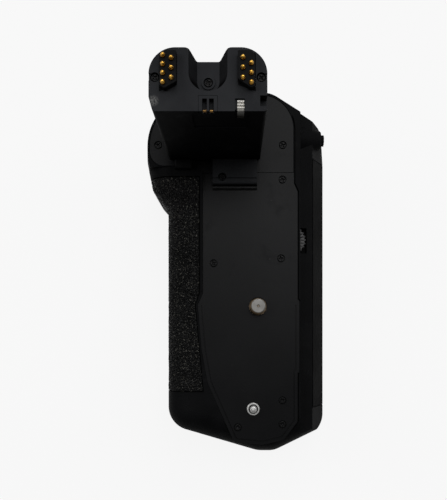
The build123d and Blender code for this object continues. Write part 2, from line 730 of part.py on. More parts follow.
def screw_cuts():
    """Holes for the fasteners and pins that enter the housing."""
    cuts = [screw_well(x, y, 0, SCREW_SHANK_LENGTH) for x, y in plate_screw_places() + cover_screw_places()]
    cuts.append(post(*WHEEL_CENTRE, Z_GEAR_LOW - SHAFT_TAIL, Z_GEAR_LOW, AXLE_RADIUS))
    cuts.append(post(PIN_X, PIN_Y, -PLATE_THICK - PIN_FLANGE_THICK, OVERRUN, PIN_FLANGE_RADIUS + FIT))
    cuts.append(post(0, 0, Z_BASE - OVERRUN, Z_BASE + SOCKET_DEPTH, SOCKET_FLANGE_RADIUS))
    cuts.append(post(0, 0, Z_BASE - OVERRUN, Z_BASE + PAD_THICK, PAD_OUTER + FIT))
    cuts += [mirror(screw_well(x, y, -Z_BASE, BASE_SCREW_LENGTH), Plane.XY) for x, y in base_screw_places()]
    return cuts


def flex_slot():
    """Window between the end bay and the gear bay for the flexible circuit."""
    z = -FLEX_DEPTH
    half = FLEX_WIDTH / 2 + GAP
    x0 = X_PARTING - WALL * 3
    x1 = X_CAVITY_END + WALL + OVERRUN
    return box(x0, x1, FLEX_Y - half, FLEX_Y + half, z - FLEX_SLOT, z + FLEX_SLOT)


def tower_foot_room():
    """Seat of the tower's foot flange under the end cover."""
    low = -COVER_PLATE_THICK - TOWER_FOOT_THICK - FIT
    return prism(foot_face(TOWER_FOOT_FLANGE + FIT), low, -COVER_PLATE_THICK)


# Rubber grip on the front

GRIP_FAR_SHARE = 0.17
GRIP_TOP_MARGIN = 0.9
GRIP_TAPER_MARGIN = 1.6
GRIP_RIB_MARGIN = 1.4
GRIP_LOW_MARGIN = 4.2
GRIP_END_SETBACK = 1.4


def grip_zone(grow):
    """Plan area that the rubber covers: beside the plate and out over the front."""
    x1 = X_PARTING - GRIP_END_SETBACK + grow
    x0 = along(GRIP_FAR_SHARE) - grow
    far, shoulder, inner = (across(PLATE_TAPER_SHARES[index][1]) for index in (1, 3, 4))
    return rounded_face([
        (x0, Y_FRONT + OVERRUN, 0),
        (x0, far + GRIP_TAPER_MARGIN - grow, 0),
        (plate_along(PLATE_TAPER_SHARES[3][0]), shoulder + GRIP_TOP_MARGIN - grow, 0),
        (plate_along(PLATE_TAPER_SHARES[4][0]), inner + GRIP_RIB_MARGIN - grow, 0),
        (x1, inner + GRIP_RIB_MARGIN - grow, 0),
        (x1, Y_FRONT + OVERRUN, 0),
    ])


def grip_skin(grow):
    """The rubber skin that lies in the housing's front, or its seat when grown."""
    zone = prism(grip_zone(grow), Z_BASE + GRIP_LOW_MARGIN - grow, OVERRUN)
    return (outer_form(0) & zone) - outer_form(GRIP_THICK + grow)


# Top plate and what stands on it

PIN_FLANGE_RADIUS = 3.0
PIN_FLANGE_THICK = 1.2
PIN_COLLAR_RADIUS = 2.6
PIN_COLLAR_HEIGHT = 0.6
PIN_TIP_CHAMFER = 0.6
SCREW_HOLE_CLEAR = 0.5
RIB_WIDTH = 1.0
RIB_HEIGHT = 0.4
PLATE_GROOVE_INSET = 1.2
PLATE_GROOVE_WIDTH = 0.5
PLATE_GROOVE_DEPTH = 0.5


def top_plate():
    """Metal mating plate with its holes, edge groove and front rib."""
    solid = prism(plate_face(), -PLATE_THICK, 0)
    inner = offset(plate_face(), -PLATE_GROOVE_INSET - PLATE_GROOVE_WIDTH)
    ring = offset(plate_face(), -PLATE_GROOVE_INSET) - inner
    x1 = plate_along(PLATE_TAPER_SHARES[3][0])
    far_part = box(X_FAR, x1, Y_REAR, Y_FRONT, -PLATE_GROOVE_DEPTH, OVERRUN)
    solid -= prism(ring, -PLATE_GROOVE_DEPTH, OVERRUN) & far_part
    solid -= post(0, 0, -PLATE_THICK - OVERRUN, OVERRUN, SCREW_RADIUS + SCREW_HOLE_CLEAR)
    solid -= post(PIN_X, PIN_Y, -PLATE_THICK - OVERRUN, OVERRUN, PIN_COLLAR_RADIUS)
    for x, y in plate_screw_places():
        solid -= screw_well(x, y, 0, SCREW_SHANK_LENGTH)
    for x, y in BRACKET_SCREWS:
        solid -= screw_well(x, y, 0, SCREW_SHANK_LENGTH)
    hole = SCREW_SHANK_RADIUS + FIT / 2
    solid -= post(HOLDER_SCREW_X, HOLDER_SCREW_Y, -PLATE_THICK - OVERRUN, OVERRUN, hole)
    return solid - holder_room()


def locating_pin():
    """Stepped pin that enters the camera's base, on a flange under the plate."""
    tip = post(PIN_X, PIN_Y, PIN_COLLAR_HEIGHT, PIN_HEIGHT, PIN_RADIUS)
    tip = chamfer(tip.faces().sort_by(Axis.Z)[-1].edges(), PIN_TIP_CHAMFER)
    collar = post(PIN_X, PIN_Y, -PLATE_THICK, PIN_COLLAR_HEIGHT, PIN_COLLAR_RADIUS)
    flange = post(PIN_X, PIN_Y, -PLATE_THICK - PIN_FLANGE_THICK, -PLATE_THICK, PIN_FLANGE_RADIUS)
    return tip + collar + flange


# Parking place for the camera's battery door

HOLDER_FAR_REACH = 12.4
HOLDER_REAR_Y = 0.5
HOLDER_FRONT_Y = 18.4
HOLDER_HEIGHT = 1.6
HOLDER_SINK = 1.4
HOLDER_WELL_WIDTH = 7.6
HOLDER_PAD_WIDTH = 1.1
HOLDER_PAD_THICK = 0.5
HOLDER_SPRING_WIDTH = 0.9
HOLDER_SPRING_THICK = 0.3
HOLDER_LIP_WIDTH = 2.2
HOLDER_LIP_RADIUS = 1.2
HOLDER_GROOVE = 0.6
HOLDER_SCREW_LENGTH = 2.6
HOLDER_SCREW_SETBACK = 7.2
HOLDER_SCREW_INSET = 3.9
HOLDER_SCREW_SINK = 0.7
HOLDER_SCREW_X = TOWER_REACH - HOLDER_SCREW_SETBACK
HOLDER_SCREW_Y = HOLDER_FRONT_Y - HOLDER_SCREW_INSET
Z_HOLDER_SCREW = HOLDER_HEIGHT - HOLDER_SCREW_SINK


def holder_room():
    """Sunk area of the plate and the end cover under the door holder and its well."""
    x0 = TOWER_REACH - HOLDER_FAR_REACH
    y1 = HOLDER_FRONT_Y + HOLDER_WELL_WIDTH
    return box(x0, TOWER_REACH, HOLDER_REAR_Y - FIT, y1, -HOLDER_SINK, OVERRUN)


def holder_start():
    """X of the door holder's rounded lip."""
    return TOWER_REACH - HOLDER_FAR_REACH + HOLDER_PAD_WIDTH + HOLDER_SPRING_WIDTH + FIT


def door_holder():
    """Block with a rounded lip and a cross groove, screwed down before the tower."""
    x0 = holder_start()
    solid = box(x0, TOWER_REACH - FIT, HOLDER_REAR_Y, HOLDER_FRONT_Y, -HOLDER_SINK, HOLDER_HEIGHT)
    lip = solid.faces().sort_by(Axis.Z)[-1].edges().sort_by(Axis.X)[0]
    solid = fillet(lip, HOLDER_LIP_RADIUS)
    x1 = x0 + HOLDER_LIP_WIDTH
    solid -= box(x1, x1 + HOLDER_GROOVE, HOLDER_REAR_Y - OVERRUN, HOLDER_FRONT_Y + OVERRUN,
                 HOLDER_HEIGHT - HOLDER_GROOVE, HOLDER_HEIGHT + OVERRUN)
    solid -= post(HOLDER_SCREW_X, HOLDER_SCREW_Y, Z_HOLDER_SCREW, HOLDER_HEIGHT + OVERRUN,
                  SCREW_HEAD_RADIUS + SCREW_HEAD_CLEAR)
    return solid - screw_well(HOLDER_SCREW_X, HOLDER_SCREW_Y, Z_HOLDER_SCREW, HOLDER_SCREW_LENGTH)


def door_holder_spring():
    """Blackened spring strip along the holder's foot."""
    x1 = holder_start()
    top = -HOLDER_SINK + HOLDER_SPRING_THICK
    return box(x1 - HOLDER_SPRING_WIDTH, x1, HOLDER_REAR_Y, HOLDER_FRONT_Y, -HOLDER_SINK, top)


def door_holder_pad():
    """Soft black strip beside the spring."""
    x1 = holder_start() - HOLDER_SPRING_WIDTH
    top = -HOLDER_SINK + HOLDER_PAD_THICK
    return box(x1 - HOLDER_PAD_WIDTH, x1, HOLDER_REAR_Y, HOLDER_FRONT_Y, -HOLDER_SINK, top)


# End cover and tower stop

STOP_LENGTH = 3.8
STOP_WIDTH = 7.0
STOP_HEIGHT = 2.4
STOP_RADIUS = 0.6


def tower_cover():
    """End cover with the tower's opening and two screws."""
    solid = prism(cover_face(), -COVER_PLATE_THICK, 0)
    solid = chamfer(solid.faces().sort_by(Axis.Z)[-1].edges().group_by(Axis.X)[-1], FIT * 2)
    hole = prism(offset(tower_face(), FIT), -COVER_PLATE_THICK - OVERRUN, OVERRUN)
    solid -= hole
    for x, y in cover_screw_places():
        solid -= screw_well(x, y, 0, SCREW_SHANK_LENGTH)
    return solid - holder_room()


def tower_stop():
    """Small raised block between the tower's foot and the plate's front corner."""
    x1 = TOWER_REACH - FIT
    y1 = Y_TOWER_FRONT - TOWER_BACK_RADIUS / 2 + OVERRUN
    solid = box(x1 - STOP_LENGTH, x1, y1 - STOP_WIDTH, y1, 0, STOP_HEIGHT)
    return fillet(solid.faces().sort_by(Axis.Z)[-1].edges(), STOP_RADIUS)


# Contact tower

CORNER_CHAMFER = 4.5
CORNER_TAPER = 1.2
GROOVE_DEPTH = 3.45
GROOVE_WIDTH = 7.5
GROOVE_MOUTH = 12.7
GROOVE_MOUTH_RADIUS = 2.5
NOTCH_DEPTH = 13.9
NOTCH_FLOOR_SETBACK = 0.5
NOTCH_WIDTH = 12.4
NOTCH_FLOOR_WIDTH = 7.2
RECESS_DROP = 3.0
ROUND_SHARE = 0.96


def tower_face():
    """The tower's section: round back corners, a long chamfer at the front corner."""
    x0, x1 = TOWER_REACH, TOWER_BACK
    y0, y1 = Y_TOWER_REAR, Y_TOWER_FRONT
    return rounded_face([
        (x0, y0, TOWER_FRONT_RADIUS),
        (x1, y0, TOWER_BACK_RADIUS),
        (x1, y1, TOWER_BACK_RADIUS),
        (x0 + CORNER_CHAMFER, y1, TOWER_FRONT_RADIUS),
        (x0, y1 - CORNER_TAPER, TOWER_FRONT_RADIUS),
    ])


def foot_face(grow):
    """The flange round the tower's foot, with the tower's round back corners."""
    x0, x1 = TOWER_REACH - grow, TOWER_BACK + grow
    y0, y1 = Y_TOWER_REAR - grow, Y_TOWER_FRONT + grow
    return rounded_face([
        (x0, y0, TOWER_FRONT_RADIUS), (x1, y0, TOWER_BACK_RADIUS),
        (x1, y1, TOWER_BACK_RADIUS), (x0, y1, TOWER_FRONT_RADIUS),
    ])


def groove_face(grow):
    """The groove down the tower's back, widening at its mouth."""
    half = GROOVE_WIDTH / 2 + grow
    bottom = TOWER_BACK - GROOVE_DEPTH - grow
    mouth = GROOVE_MOUTH / 2 + grow
    wide = mouth + GROOVE_MOUTH_RADIUS
    return rounded_face([
        (bottom, Y_TOWER_MIDDLE - half, TOWER_FRONT_RADIUS),
        (bottom, Y_TOWER_MIDDLE + half, TOWER_FRONT_RADIUS),
        (TOWER_BACK, Y_TOWER_MIDDLE + mouth, GROOVE_MOUTH_RADIUS),
        (TOWER_BACK, Y_TOWER_MIDDLE + wide, 0),
        (TOWER_BACK + OVERRUN, Y_TOWER_MIDDLE + wide, 0),
        (TOWER_BACK + OVERRUN, Y_TOWER_MIDDLE - wide, 0),
        (TOWER_BACK, Y_TOWER_MIDDLE - wide, 0),
        (TOWER_BACK, Y_TOWER_MIDDLE - mouth, GROOVE_MOUTH_RADIUS),
    ])


def notch_face(width, depth):
    """A round-ended notch into the roof from the tower's back."""
    half = width / 2
    bottom = TOWER_BACK - depth
    round_end = half * ROUND_SHARE
    return rounded_face([
        (bottom, Y_TOWER_MIDDLE - half, round_end),
        (bottom, Y_TOWER_MIDDLE + half, round_end),
        (TOWER_BACK + OVERRUN, Y_TOWER_MIDDLE + half, 0),
        (TOWER_BACK + OVERRUN, Y_TOWER_MIDDLE - half, 0),
    ])


def notch():
    """The notch with its flared wall, from its sunk floor to above the roof."""
    floor = notch_face(NOTCH_FLOOR_WIDTH, NOTCH_DEPTH - NOTCH_FLOOR_SETBACK)
    mouth = notch_face(NOTCH_WIDTH, NOTCH_DEPTH)
    flare = loft([Pos(0, 0, Z_NOTCH_FLOOR) * floor, Pos(0, 0, TOWER_HEIGHT) * mouth], ruled=True)
    return flare + prism(mouth, TOWER_HEIGHT, TOWER_HEIGHT + OVERRUN)


Z_HEAD_LOW = TOWER_HEIGHT - HEAD_HEIGHT
Z_HEAD_ROOF = TOWER_HEIGHT - HEAD_TOP_THICK
Z_NOTCH_FLOOR = TOWER_HEIGHT - RECESS_DROP


def tower_case():
    """Hollow lower tower on a foot flange under the end cover."""
    outer = prism(tower_face(), -COVER_PLATE_THICK, Z_HEAD_LOW)
    outer -= prism(groove_face(0), 0, Z_HEAD_LOW + OVERRUN)
    inner = prism(offset(tower_face(), -TOWER_WALL), -COVER_PLATE_THICK - OVERRUN, Z_HEAD_LOW + OVERRUN)
    inner -= prism(groove_face(TOWER_WALL), -COVER_PLATE_THICK - OVERRUN, Z_HEAD_LOW + OVERRUN)
    low = -COVER_PLATE_THICK - TOWER_FOOT_THICK
    foot = prism(foot_face(TOWER_FOOT_FLANGE), low, -COVER_PLATE_THICK)
    foot -= prism(offset(tower_face(), -TOWER_WALL), low - OVERRUN, OVERRUN)
    for x, y in cover_screw_places():
        foot -= post(x, y, low - OVERRUN, OVERRUN, SCREW_HEAD_RADIUS)
    return outer - inner + foot


SPIGOT_HEIGHT = 3.0
SPIGOT_THICK = 0.8
SOCKET_WIDTH = 6.2
SOCKET_LENGTH = 5.0
SOCKET_SLOT_WIDTH = 1.5
SOCKET_RIB = 0.7
SOCKET_SINK = 3.4
LEAF_WIDTH = 2.5
LEAF_LENGTH = 4.0
LEAF_DROP = 8.0
LEAF_SIDE_REACH = 7.2
LEAF_THICK = 0.4
LEAF_CLEAR = 0.3
LEAF_WAVES = 4
LEAF_WAVE_RADIUS = 0.28
SLOT_SIZE_X = 3.4
SLOT_SIZE_Y = 2.3
SLOT_DEPTH = 4.6
SLOT_SET_X = 1.6
PANEL_RECESS = 0.4
PANEL_REAR_REACH = 5.8
PANEL_FRONT_REACH = 24.2


def tower_head():
    """Upper tower: roof, notch with its U wall, sunk floor, slots and seats."""
    solid = prism(tower_face(), Z_HEAD_LOW, TOWER_HEIGHT)
    solid -= notch()
    x, y, z = tower_screw_places()[-1]
    solid += post(x, y, Z_NOTCH_FLOOR - FIT, z, SCREW_RING_RADIUS)
    solid -= prism(groove_face(0), Z_HEAD_LOW - OVERRUN, TOWER_HEIGHT + OVERRUN)
    hollow = prism(offset(tower_face(), -TOWER_WALL), Z_HEAD_LOW - OVERRUN, Z_HEAD_ROOF - RECESS_DROP)
    hollow -= prism(groove_face(TOWER_WALL), Z_HEAD_LOW - OVERRUN, TOWER_HEIGHT)
    solid -= hollow
    solid -= pin_block_seats()
    solid -= socket_room()
    solid -= leaf_room()
    solid -= prism(side_slot(), TOWER_HEIGHT - SLOT_DEPTH, TOWER_HEIGHT + OVERRUN)
    solid -= box(TOWER_REACH - OVERRUN, TOWER_REACH + PANEL_RECESS, Y_TOWER_REAR + PANEL_REAR_REACH,
                 Y_TOWER_REAR + PANEL_FRONT_REACH, Z_HEAD_LOW - OVERRUN, TOWER_HEIGHT - SOCKET_SINK)
    for x, y, z in tower_screw_places():
        solid -= screw_well(x, y, z, HEAD_SCREW_LENGTH, SMALL_HEAD_RADIUS)
    for side, (x, y, z) in zip((-1, 1), tower_screw_places()):
        solid -= screw_pocket(x, y, z, side)
    return solid


def screw_pocket(x, y, z, side):
    """Sunk pocket over a side screw, open to the head's edge."""
    radius = SMALL_HEAD_RADIUS + SCREW_HEAD_CLEAR
    half = radius * POCKET_MOUTH_SHARE
    mouth = box(x - half, x + half, y, y + side * (HEAD_SCREW_INSET + OVERRUN), z, TOWER_HEIGHT + OVERRUN)
    return mouth + post(x, y, z, TOWER_HEIGHT + OVERRUN, radius)


def side_slot():
    """The narrow slot at the roof's rear edge."""
    x0 = TOWER_REACH + SLOT_SET_X
    y0 = Y_TOWER_REAR - OVERRUN
    y1 = Y_TOWER_REAR + SLOT_SIZE_Y
    return rounded_face([(x0, y0, 0), (x0 + SLOT_SIZE_X, y0, 0), (x0 + SLOT_SIZE_X, y1, 0), (x0, y1, 0)])


HEAD_SCREW_LENGTH = 4.5
HEAD_SCREW_SET_X = 10.8
HEAD_SCREW_INSET = 1.95
CENTRE_SCREW_SET_X = 10.0
HEAD_SCREW_SINK = 0.7
POCKET_MOUTH_SHARE = 0.75
SCREW_RING_RADIUS = 2.2
SCREW_RING_RISE = 0.5


def tower_screw_places():
    """Two sunk screws at the roof's sides and one in a ring on the notch's floor."""
    x = TOWER_REACH + HEAD_SCREW_SET_X
    return [
        (x, Y_TOWER_REAR + HEAD_SCREW_INSET, TOWER_HEIGHT - HEAD_SCREW_SINK),
        (x, Y_TOWER_FRONT - HEAD_SCREW_INSET, TOWER_HEIGHT - HEAD_SCREW_SINK),
        (TOWER_REACH + CENTRE_SCREW_SET_X, Y_TOWER_MIDDLE, Z_NOTCH_FLOOR + SCREW_RING_RISE),
    ]


# Pin blocks and sprung pins, as places in from the tower's front face and rear side

BLOCK_WIDTH = 5.4
BLOCK_LENGTH = 12.0
BLOCK_SLANT = 2.0
BLOCK_SET_X = 6.4
BLOCK_RISE = 3.0
BLOCK_SKIRT = 4.0
BLOCK_EDGE = 0.6
LEFT_BLOCK_INSET = 3.5
RIGHT_BLOCK_INSET = 3.8
CONTACT_RADIUS = 0.65
CONTACT_TIP_RADIUS = 0.35
CONTACT_RISE = 1.7
CONTACT_TIP_LENGTH = 0.5
CONTACT_TRAVEL = 1.0
CONTACT_TAIL = 6.5
COLUMN_INSET = 1.4
COLUMN_SPACING = 2.6
LEFT_COLUMNS = ((4, 2.8, 1.6), (3, 3.05, 3.0))
RIGHT_COLUMNS = ((3, 3.0, 1.5), (3, 3.15, 3.0))
LEFT_BLOCK_Y = Y_TOWER_FRONT - LEFT_BLOCK_INSET - BLOCK_WIDTH
RIGHT_BLOCK_Y = Y_TOWER_REAR + RIGHT_BLOCK_INSET


def block_face(y0, slant_outwards, grow):
    """A contact block in plan, with its near end slanted like the real carrier."""
    x0 = TOWER_REACH + BLOCK_SET_X
    x1 = x0 + BLOCK_LENGTH
    low_in, low_out = x0 + BLOCK_SLANT, x0
    y1 = y0 + BLOCK_WIDTH
    first, second = (low_in, low_out) if slant_outwards else (low_out, low_in)
    plan = rounded_face([
        (first - grow, y0 - grow, 0), (x1 + grow, y0 - grow, 0),
        (x1 + grow, y1 + grow, 0), (second - grow, y1 + grow, 0),
    ])
    return plan & offset(tower_face(), grow - BLOCK_EDGE)


def column_places(y_first, columns, y_step):
    """Pin centres of one block from its columns of (count, pitch, set-in)."""
    places = []
    for index, (count, pitch, start) in enumerate(columns):
        y = y_first + index * y_step
        x = TOWER_REACH + BLOCK_SET_X + start
        places += [(x + step * pitch, y) for step in range(count)]
    return places


def left_places():
    """The seven pins of the left block, outer column first."""
    y = LEFT_BLOCK_Y + BLOCK_WIDTH - COLUMN_INSET
    return column_places(y, LEFT_COLUMNS, -COLUMN_SPACING)


def right_places():
    """The six pins of the right block, outer column first."""
    y = RIGHT_BLOCK_Y + COLUMN_INSET
    return column_places(y, RIGHT_COLUMNS, COLUMN_SPACING)


def pin_block(y0, outwards, places):
    """One raised carrier with a bore for each pin."""
    low = Z_HEAD_ROOF - RECESS_DROP
    solid = prism(block_face(y0, outwards, 0), low, TOWER_HEIGHT + BLOCK_RISE)
    for x, y in places:
        solid -= post(x, y, low - OVERRUN, TOWER_HEIGHT + BLOCK_RISE + OVERRUN, CONTACT_RADIUS + RUN)
    return solid


def left_pin_block():
    """Carrier of the seven pins."""
    return pin_block(LEFT_BLOCK_Y, True, left_places())


def right_pin_block():
    """Carrier of the six pins."""
    return pin_block(RIGHT_BLOCK_Y, False, right_places())


def pin_block_seats():
    """Openings in the roof for both carriers."""
    low = Z_HEAD_ROOF - RECESS_DROP - OVERRUN
    seats = prism(block_face(LEFT_BLOCK_Y, True, FIT), low, TOWER_HEIGHT + OVERRUN)
    return seats + prism(block_face(RIGHT_BLOCK_Y, False, FIT), low, TOWER_HEIGHT + OVERRUN)


def contact_pin(x, y):
    """One sprung pin with a rounded tip."""
    top = TOWER_HEIGHT + BLOCK_RISE + CONTACT_RISE
    low = TOWER_HEIGHT - CONTACT_TAIL
    body = post(x, y, low, top - CONTACT_TIP_LENGTH, CONTACT_RADIUS)
    cone = Cone(CONTACT_RADIUS, CONTACT_TIP_RADIUS, CONTACT_TIP_LENGTH)
    return body + Pos(x, y, top - CONTACT_TIP_LENGTH / 2) * cone


def contact_pins(places):
    """All sprung pins of one carrier."""
    return [contact_pin(x, y) for x, y in places]


SOCKET_WALL = 0.9
SOCKET_TIP_RADIUS = 0.5
SOCKET_TIP_DROP = 0.2


def socket_sides():
    """Y of the socket's two side walls."""
    return Y_TOWER_MIDDLE - SOCKET_WIDTH / 2, Y_TOWER_MIDDLE + SOCKET_WIDTH / 2


def socket_slots():
    """Y of the middle of each slot."""
    step = (SOCKET_SLOT_WIDTH + SOCKET_RIB) / 2
    return Y_TOWER_MIDDLE - step, Y_TOWER_MIDDLE + step


def socket_room():
    """Opening at the roof's front edge for the two-slot socket."""
    y0, y1 = socket_sides()
    return box(TOWER_REACH - OVERRUN, TOWER_REACH + SOCKET_LENGTH, y0, y1, TOWER_HEIGHT - SOCKET_SINK,
               TOWER_HEIGHT + OVERRUN)


def contact_socket():
    """Small frame with two deep slots."""
    y0, y1 = socket_sides()
    low = TOWER_HEIGHT - SOCKET_SINK
    x1 = TOWER_REACH + SOCKET_LENGTH - FIT
    solid = box(TOWER_REACH, x1, y0 + FIT, y1 - FIT, low, TOWER_HEIGHT)
    half = SOCKET_SLOT_WIDTH / 2
    for y in socket_slots():
        solid -= box(TOWER_REACH - OVERRUN, x1 - SOCKET_WALL, y - half, y + half, low + SOCKET_WALL,
                     TOWER_HEIGHT + OVERRUN)
    return solid


def socket_contacts():
    """Two gilt springs that stand in the slots, each with a rounded tip."""
    low = TOWER_HEIGHT - SOCKET_SINK + SOCKET_WALL
    x0 = TOWER_REACH + FIT
    z = TOWER_HEIGHT - SOCKET_TIP_DROP - SOCKET_TIP_RADIUS
    springs = []
    for y in socket_slots():
        y0, y1 = y - LEAF_THICK, y + LEAF_THICK
        foot = box(x0, TOWER_REACH + LEAF_LENGTH - FIT, y0, y1, low, low + LEAF_THICK)
        stem = box(x0, x0 + LEAF_THICK, y0, y1, low, z)
        springs.append(foot + stem + upright_disc(x0 + SOCKET_TIP_RADIUS, z, y0, y1, SOCKET_TIP_RADIUS))
    return springs


def leaf_room():
    """Seat of the silver leaf in the roof and down the front."""
    y0 = Y_TOWER_REAR + LEAF_SIDE_REACH
    y1 = y0 + LEAF_WIDTH + 2 * LEAF_CLEAR
    room = box(TOWER_REACH - OVERRUN, TOWER_REACH + LEAF_LENGTH, y0, y1,
               TOWER_HEIGHT - LEAF_THICK - LEAF_CLEAR, TOWER_HEIGHT + OVERRUN)
    return room + box(TOWER_REACH - OVERRUN, TOWER_REACH + LEAF_THICK + LEAF_CLEAR, y0, y1,
                      TOWER_HEIGHT - LEAF_DROP, TOWER_HEIGHT + OVERRUN)


def leaf_contact():
    """Silver leaf folded over the head's front edge."""
    y0 = Y_TOWER_REAR + LEAF_SIDE_REACH + LEAF_CLEAR
    y1 = y0 + LEAF_WIDTH
    base = TOWER_HEIGHT - LEAF_THICK - LEAF_CLEAR
    x0 = TOWER_REACH + LEAF_CLEAR
    x1 = TOWER_REACH + LEAF_LENGTH - LEAF_CLEAR
    solid = box(x0, x1, y0, y1, base, base + LEAF_THICK)
    for wave in range(LEAF_WAVES):
        x = x0 + (wave + 1 / 2) * (x1 - x0) / LEAF_WAVES
        solid += upright_disc(x, base + LEAF_THICK, y0, y1, LEAF_WAVE_RADIUS)
    solid += box(TOWER_REACH + LEAF_CLEAR, TOWER_REACH + LEAF_CLEAR + LEAF_THICK, y0, y1,
                 TOWER_HEIGHT - LEAF_DROP + LEAF_CLEAR, base + LEAF_THICK)
    return solid


# Boards and the flexible circuit

BOARD_THICK = 1.2
BOARD_DEPTH = 11.0
BOARD_POST_RADIUS = 1.5
BOARD_FRONT_INSET = 1.0
BOARD_STRIP = 8.5
BOARD_HEAD_LENGTH = 10.5
BOARD_HEAD_REACH = 21.0
BOARD_FAR_SHARE = 0.3
BOARD_NEAR_INSET = 4.4
Z_BOARD_TOP = -BOARD_DEPTH
Z_BOARD_LOW = Z_BOARD_TOP - BOARD_THICK
TOWER_BOARD_DROP = 9.2
TOWER_BOARD_MARGIN = 0.5


def board_area():
    """The main board's corners: x far, x near, y rear of the strip, y front."""
    y1 = across(PLATE_TAPER_SHARES[-1][1]) - PLATE_EDGE_LEDGE - BOARD_FRONT_INSET
    return plate_along(BOARD_FAR_SHARE), X_PARTING - BOARD_NEAR_INSET, y1 - BOARD_STRIP, y1


def board_posts():
    """Posts under the main board's corners."""
    x0, x1, y0, y1 = board_area()
    inset = BOARD_POST_RADIUS + GAP
    return [(x0 + inset, y1 - inset), (x1 - inset, y1 - inset), (x1 - inset, y1 - BOARD_HEAD_REACH + inset)]


def main_board():
    """L-shaped circuit board beside the gears."""
    x0, x1, y0, y1 = board_area()
    board = box(x0, x1, y0, y1, Z_BOARD_LOW, Z_BOARD_TOP)
    return board + box(x1 - BOARD_HEAD_LENGTH, x1, y1 - BOARD_HEAD_REACH, y1, Z_BOARD_LOW, Z_BOARD_TOP)


CHIP_SIZE = 5.0
CHIP_THICK = 1.0
CAN_RADIUS = 1.8
CAN_HEIGHT = 3.4
CHIP_SHARES = (0.12, 0.45, 0.62)
CAN_SHARES = (0.25, 0.32, 0.75)


def board_parts():
    """Flat chips and upright capacitors on the main board."""
    x0, x1, y0, y1 = board_area()
    middle = (y0 + y1) / 2
    half = CHIP_SIZE / 2
    parts = []
    for share in CHIP_SHARES:
        x = x0 + share * (x1 - x0)
        top = Z_BOARD_TOP + CHIP_THICK
        parts.append(box(x - half, x + half, middle - half, middle + half, Z_BOARD_TOP, top))
    for share in CAN_SHARES:
        parts.append(post(x0 + share * (x1 - x0), middle, Z_BOARD_TOP, Z_BOARD_TOP + CAN_HEIGHT, CAN_RADIUS))
    return parts


def tower_board():
    """Board inside the head that the sprung pins press on."""
    z1 = TOWER_HEIGHT - TOWER_BOARD_DROP
    plan = offset(tower_face(), -TOWER_WALL - TOWER_BOARD_MARGIN) - groove_face(TOWER_WALL + GAP)
    return prism(plan, z1 - BOARD_THICK, z1)


FLEX_SETBACK = 6.5
FLEX_X = TOWER_REACH + FLEX_SETBACK
FLEX_RADIUS = 2.5


def flex_cable():
    """Flat circuit from the tower's board down through the foot to the main board."""
    top = TOWER_HEIGHT - TOWER_BOARD_DROP - BOARD_THICK
    low = -FLEX_DEPTH
    x_board = board_area()[1] - BOARD_HEAD_LENGTH / 3
    half = FLEX_THICK / 2
    points = ((FLEX_X, top - half), (FLEX_X, low), (x_board, low), (x_board, Z_BOARD_TOP + half))
    path = FilletPolyline(*points, radius=FLEX_RADIUS)
    strip = Plane.XZ.offset(-FLEX_Y - FLEX_WIDTH / 2) * make_face(offset(path, half, side=Side.BOTH).edges())
    return extrude(strip, FLEX_WIDTH)


# Magazine

Z_BAY_FLOOR = Z_TRAY_LOW + TRAY_FLOOR
KNOB_CLEAR = 0.3
KNOB_CUP_WALL = 0.9
KNOB_CUP_DEPTH = 7.0
KNOB_BASE_THICK = 2.0
KNOB_BAR_WIDTH = 2.8
KNOB_SHAFT_RADIUS = 2.2
LATCH_THICK = 1.6
LATCH_HUB_RADIUS = 3.6
LATCH_REACH = 6.6
LATCH_WIDTH = 3.6
FLOOR_WINDOW_MARGIN = 9.0


def bay_start(index):
    """X of a bay's far side."""
    return X_TRAY_FAR + TRAY_WALL + index * (BAY_WIDTH + TRAY_WALL)


def knob_centre():
    """X and Z of the release knob's axis."""
    return (bay_start(BAY_COUNT) + X_TRAY_END) / 2, (Z_TRAY_TOP + Z_TRAY_LOW) / 2


CUP_RADIUS = (X_TRAY_END - bay_start(BAY_COUNT)) / 2
KNOB_RADIUS = CUP_RADIUS - KNOB_CUP_WALL - KNOB_CLEAR


def magazine_tray():
    """Open-topped tray with two battery bays and a pocket for the latch."""
    solid = box(X_TRAY_FAR, X_TRAY_END, Y_COVER_IN, Y_TRAY_FRONT, Z_TRAY_LOW, Z_TRAY_TOP)
    for index in range(BAY_COUNT):
        x = bay_start(index)
        solid -= box(x, x + BAY_WIDTH, Y_BAY_REAR, Y_BAY_FRONT, Z_BAY_FLOOR, Z_TRAY_TOP + OVERRUN)
        margin = FLOOR_WINDOW_MARGIN
        window = box(x + margin, x + BAY_WIDTH - margin, Y_BAY_REAR + margin, Y_BAY_FRONT - margin,
                     Z_TRAY_LOW - OVERRUN, Z_BAY_FLOOR + OVERRUN)
        solid -= window
        solid -= lock_room(index, 0)
    x = bay_start(BAY_COUNT)
    solid -= box(x, X_TRAY_END - TRAY_WALL, Y_COVER_IN - OVERRUN, Y_BAY_FRONT, Z_BAY_FLOOR,
                 Z_TRAY_TOP + OVERRUN)
    knob_x, knob_z = knob_centre()
    solid -= upright_disc(knob_x, knob_z, Y_COVER_IN - OVERRUN, Y_REAR + KNOB_CUP_DEPTH + 2 * KNOB_CUP_WALL,
                          CUP_RADIUS + FIT)
    solid -= contact_seat()
    return solid


LOCK_WIDTH = 9.0
LOCK_HEIGHT = 4.0
LOCK_THICK = 1.1
LOCK_OVERHANG = 1.2
LOCK_TIP_THICK = 0.7
LOCK_TRAVEL = 1.4
LOCK_CLEAR = 0.15


def lock_y():
    """Y of the lock plate's rear face at rest."""
    return Y_BAY_REAR - GAP - LOCK_THICK


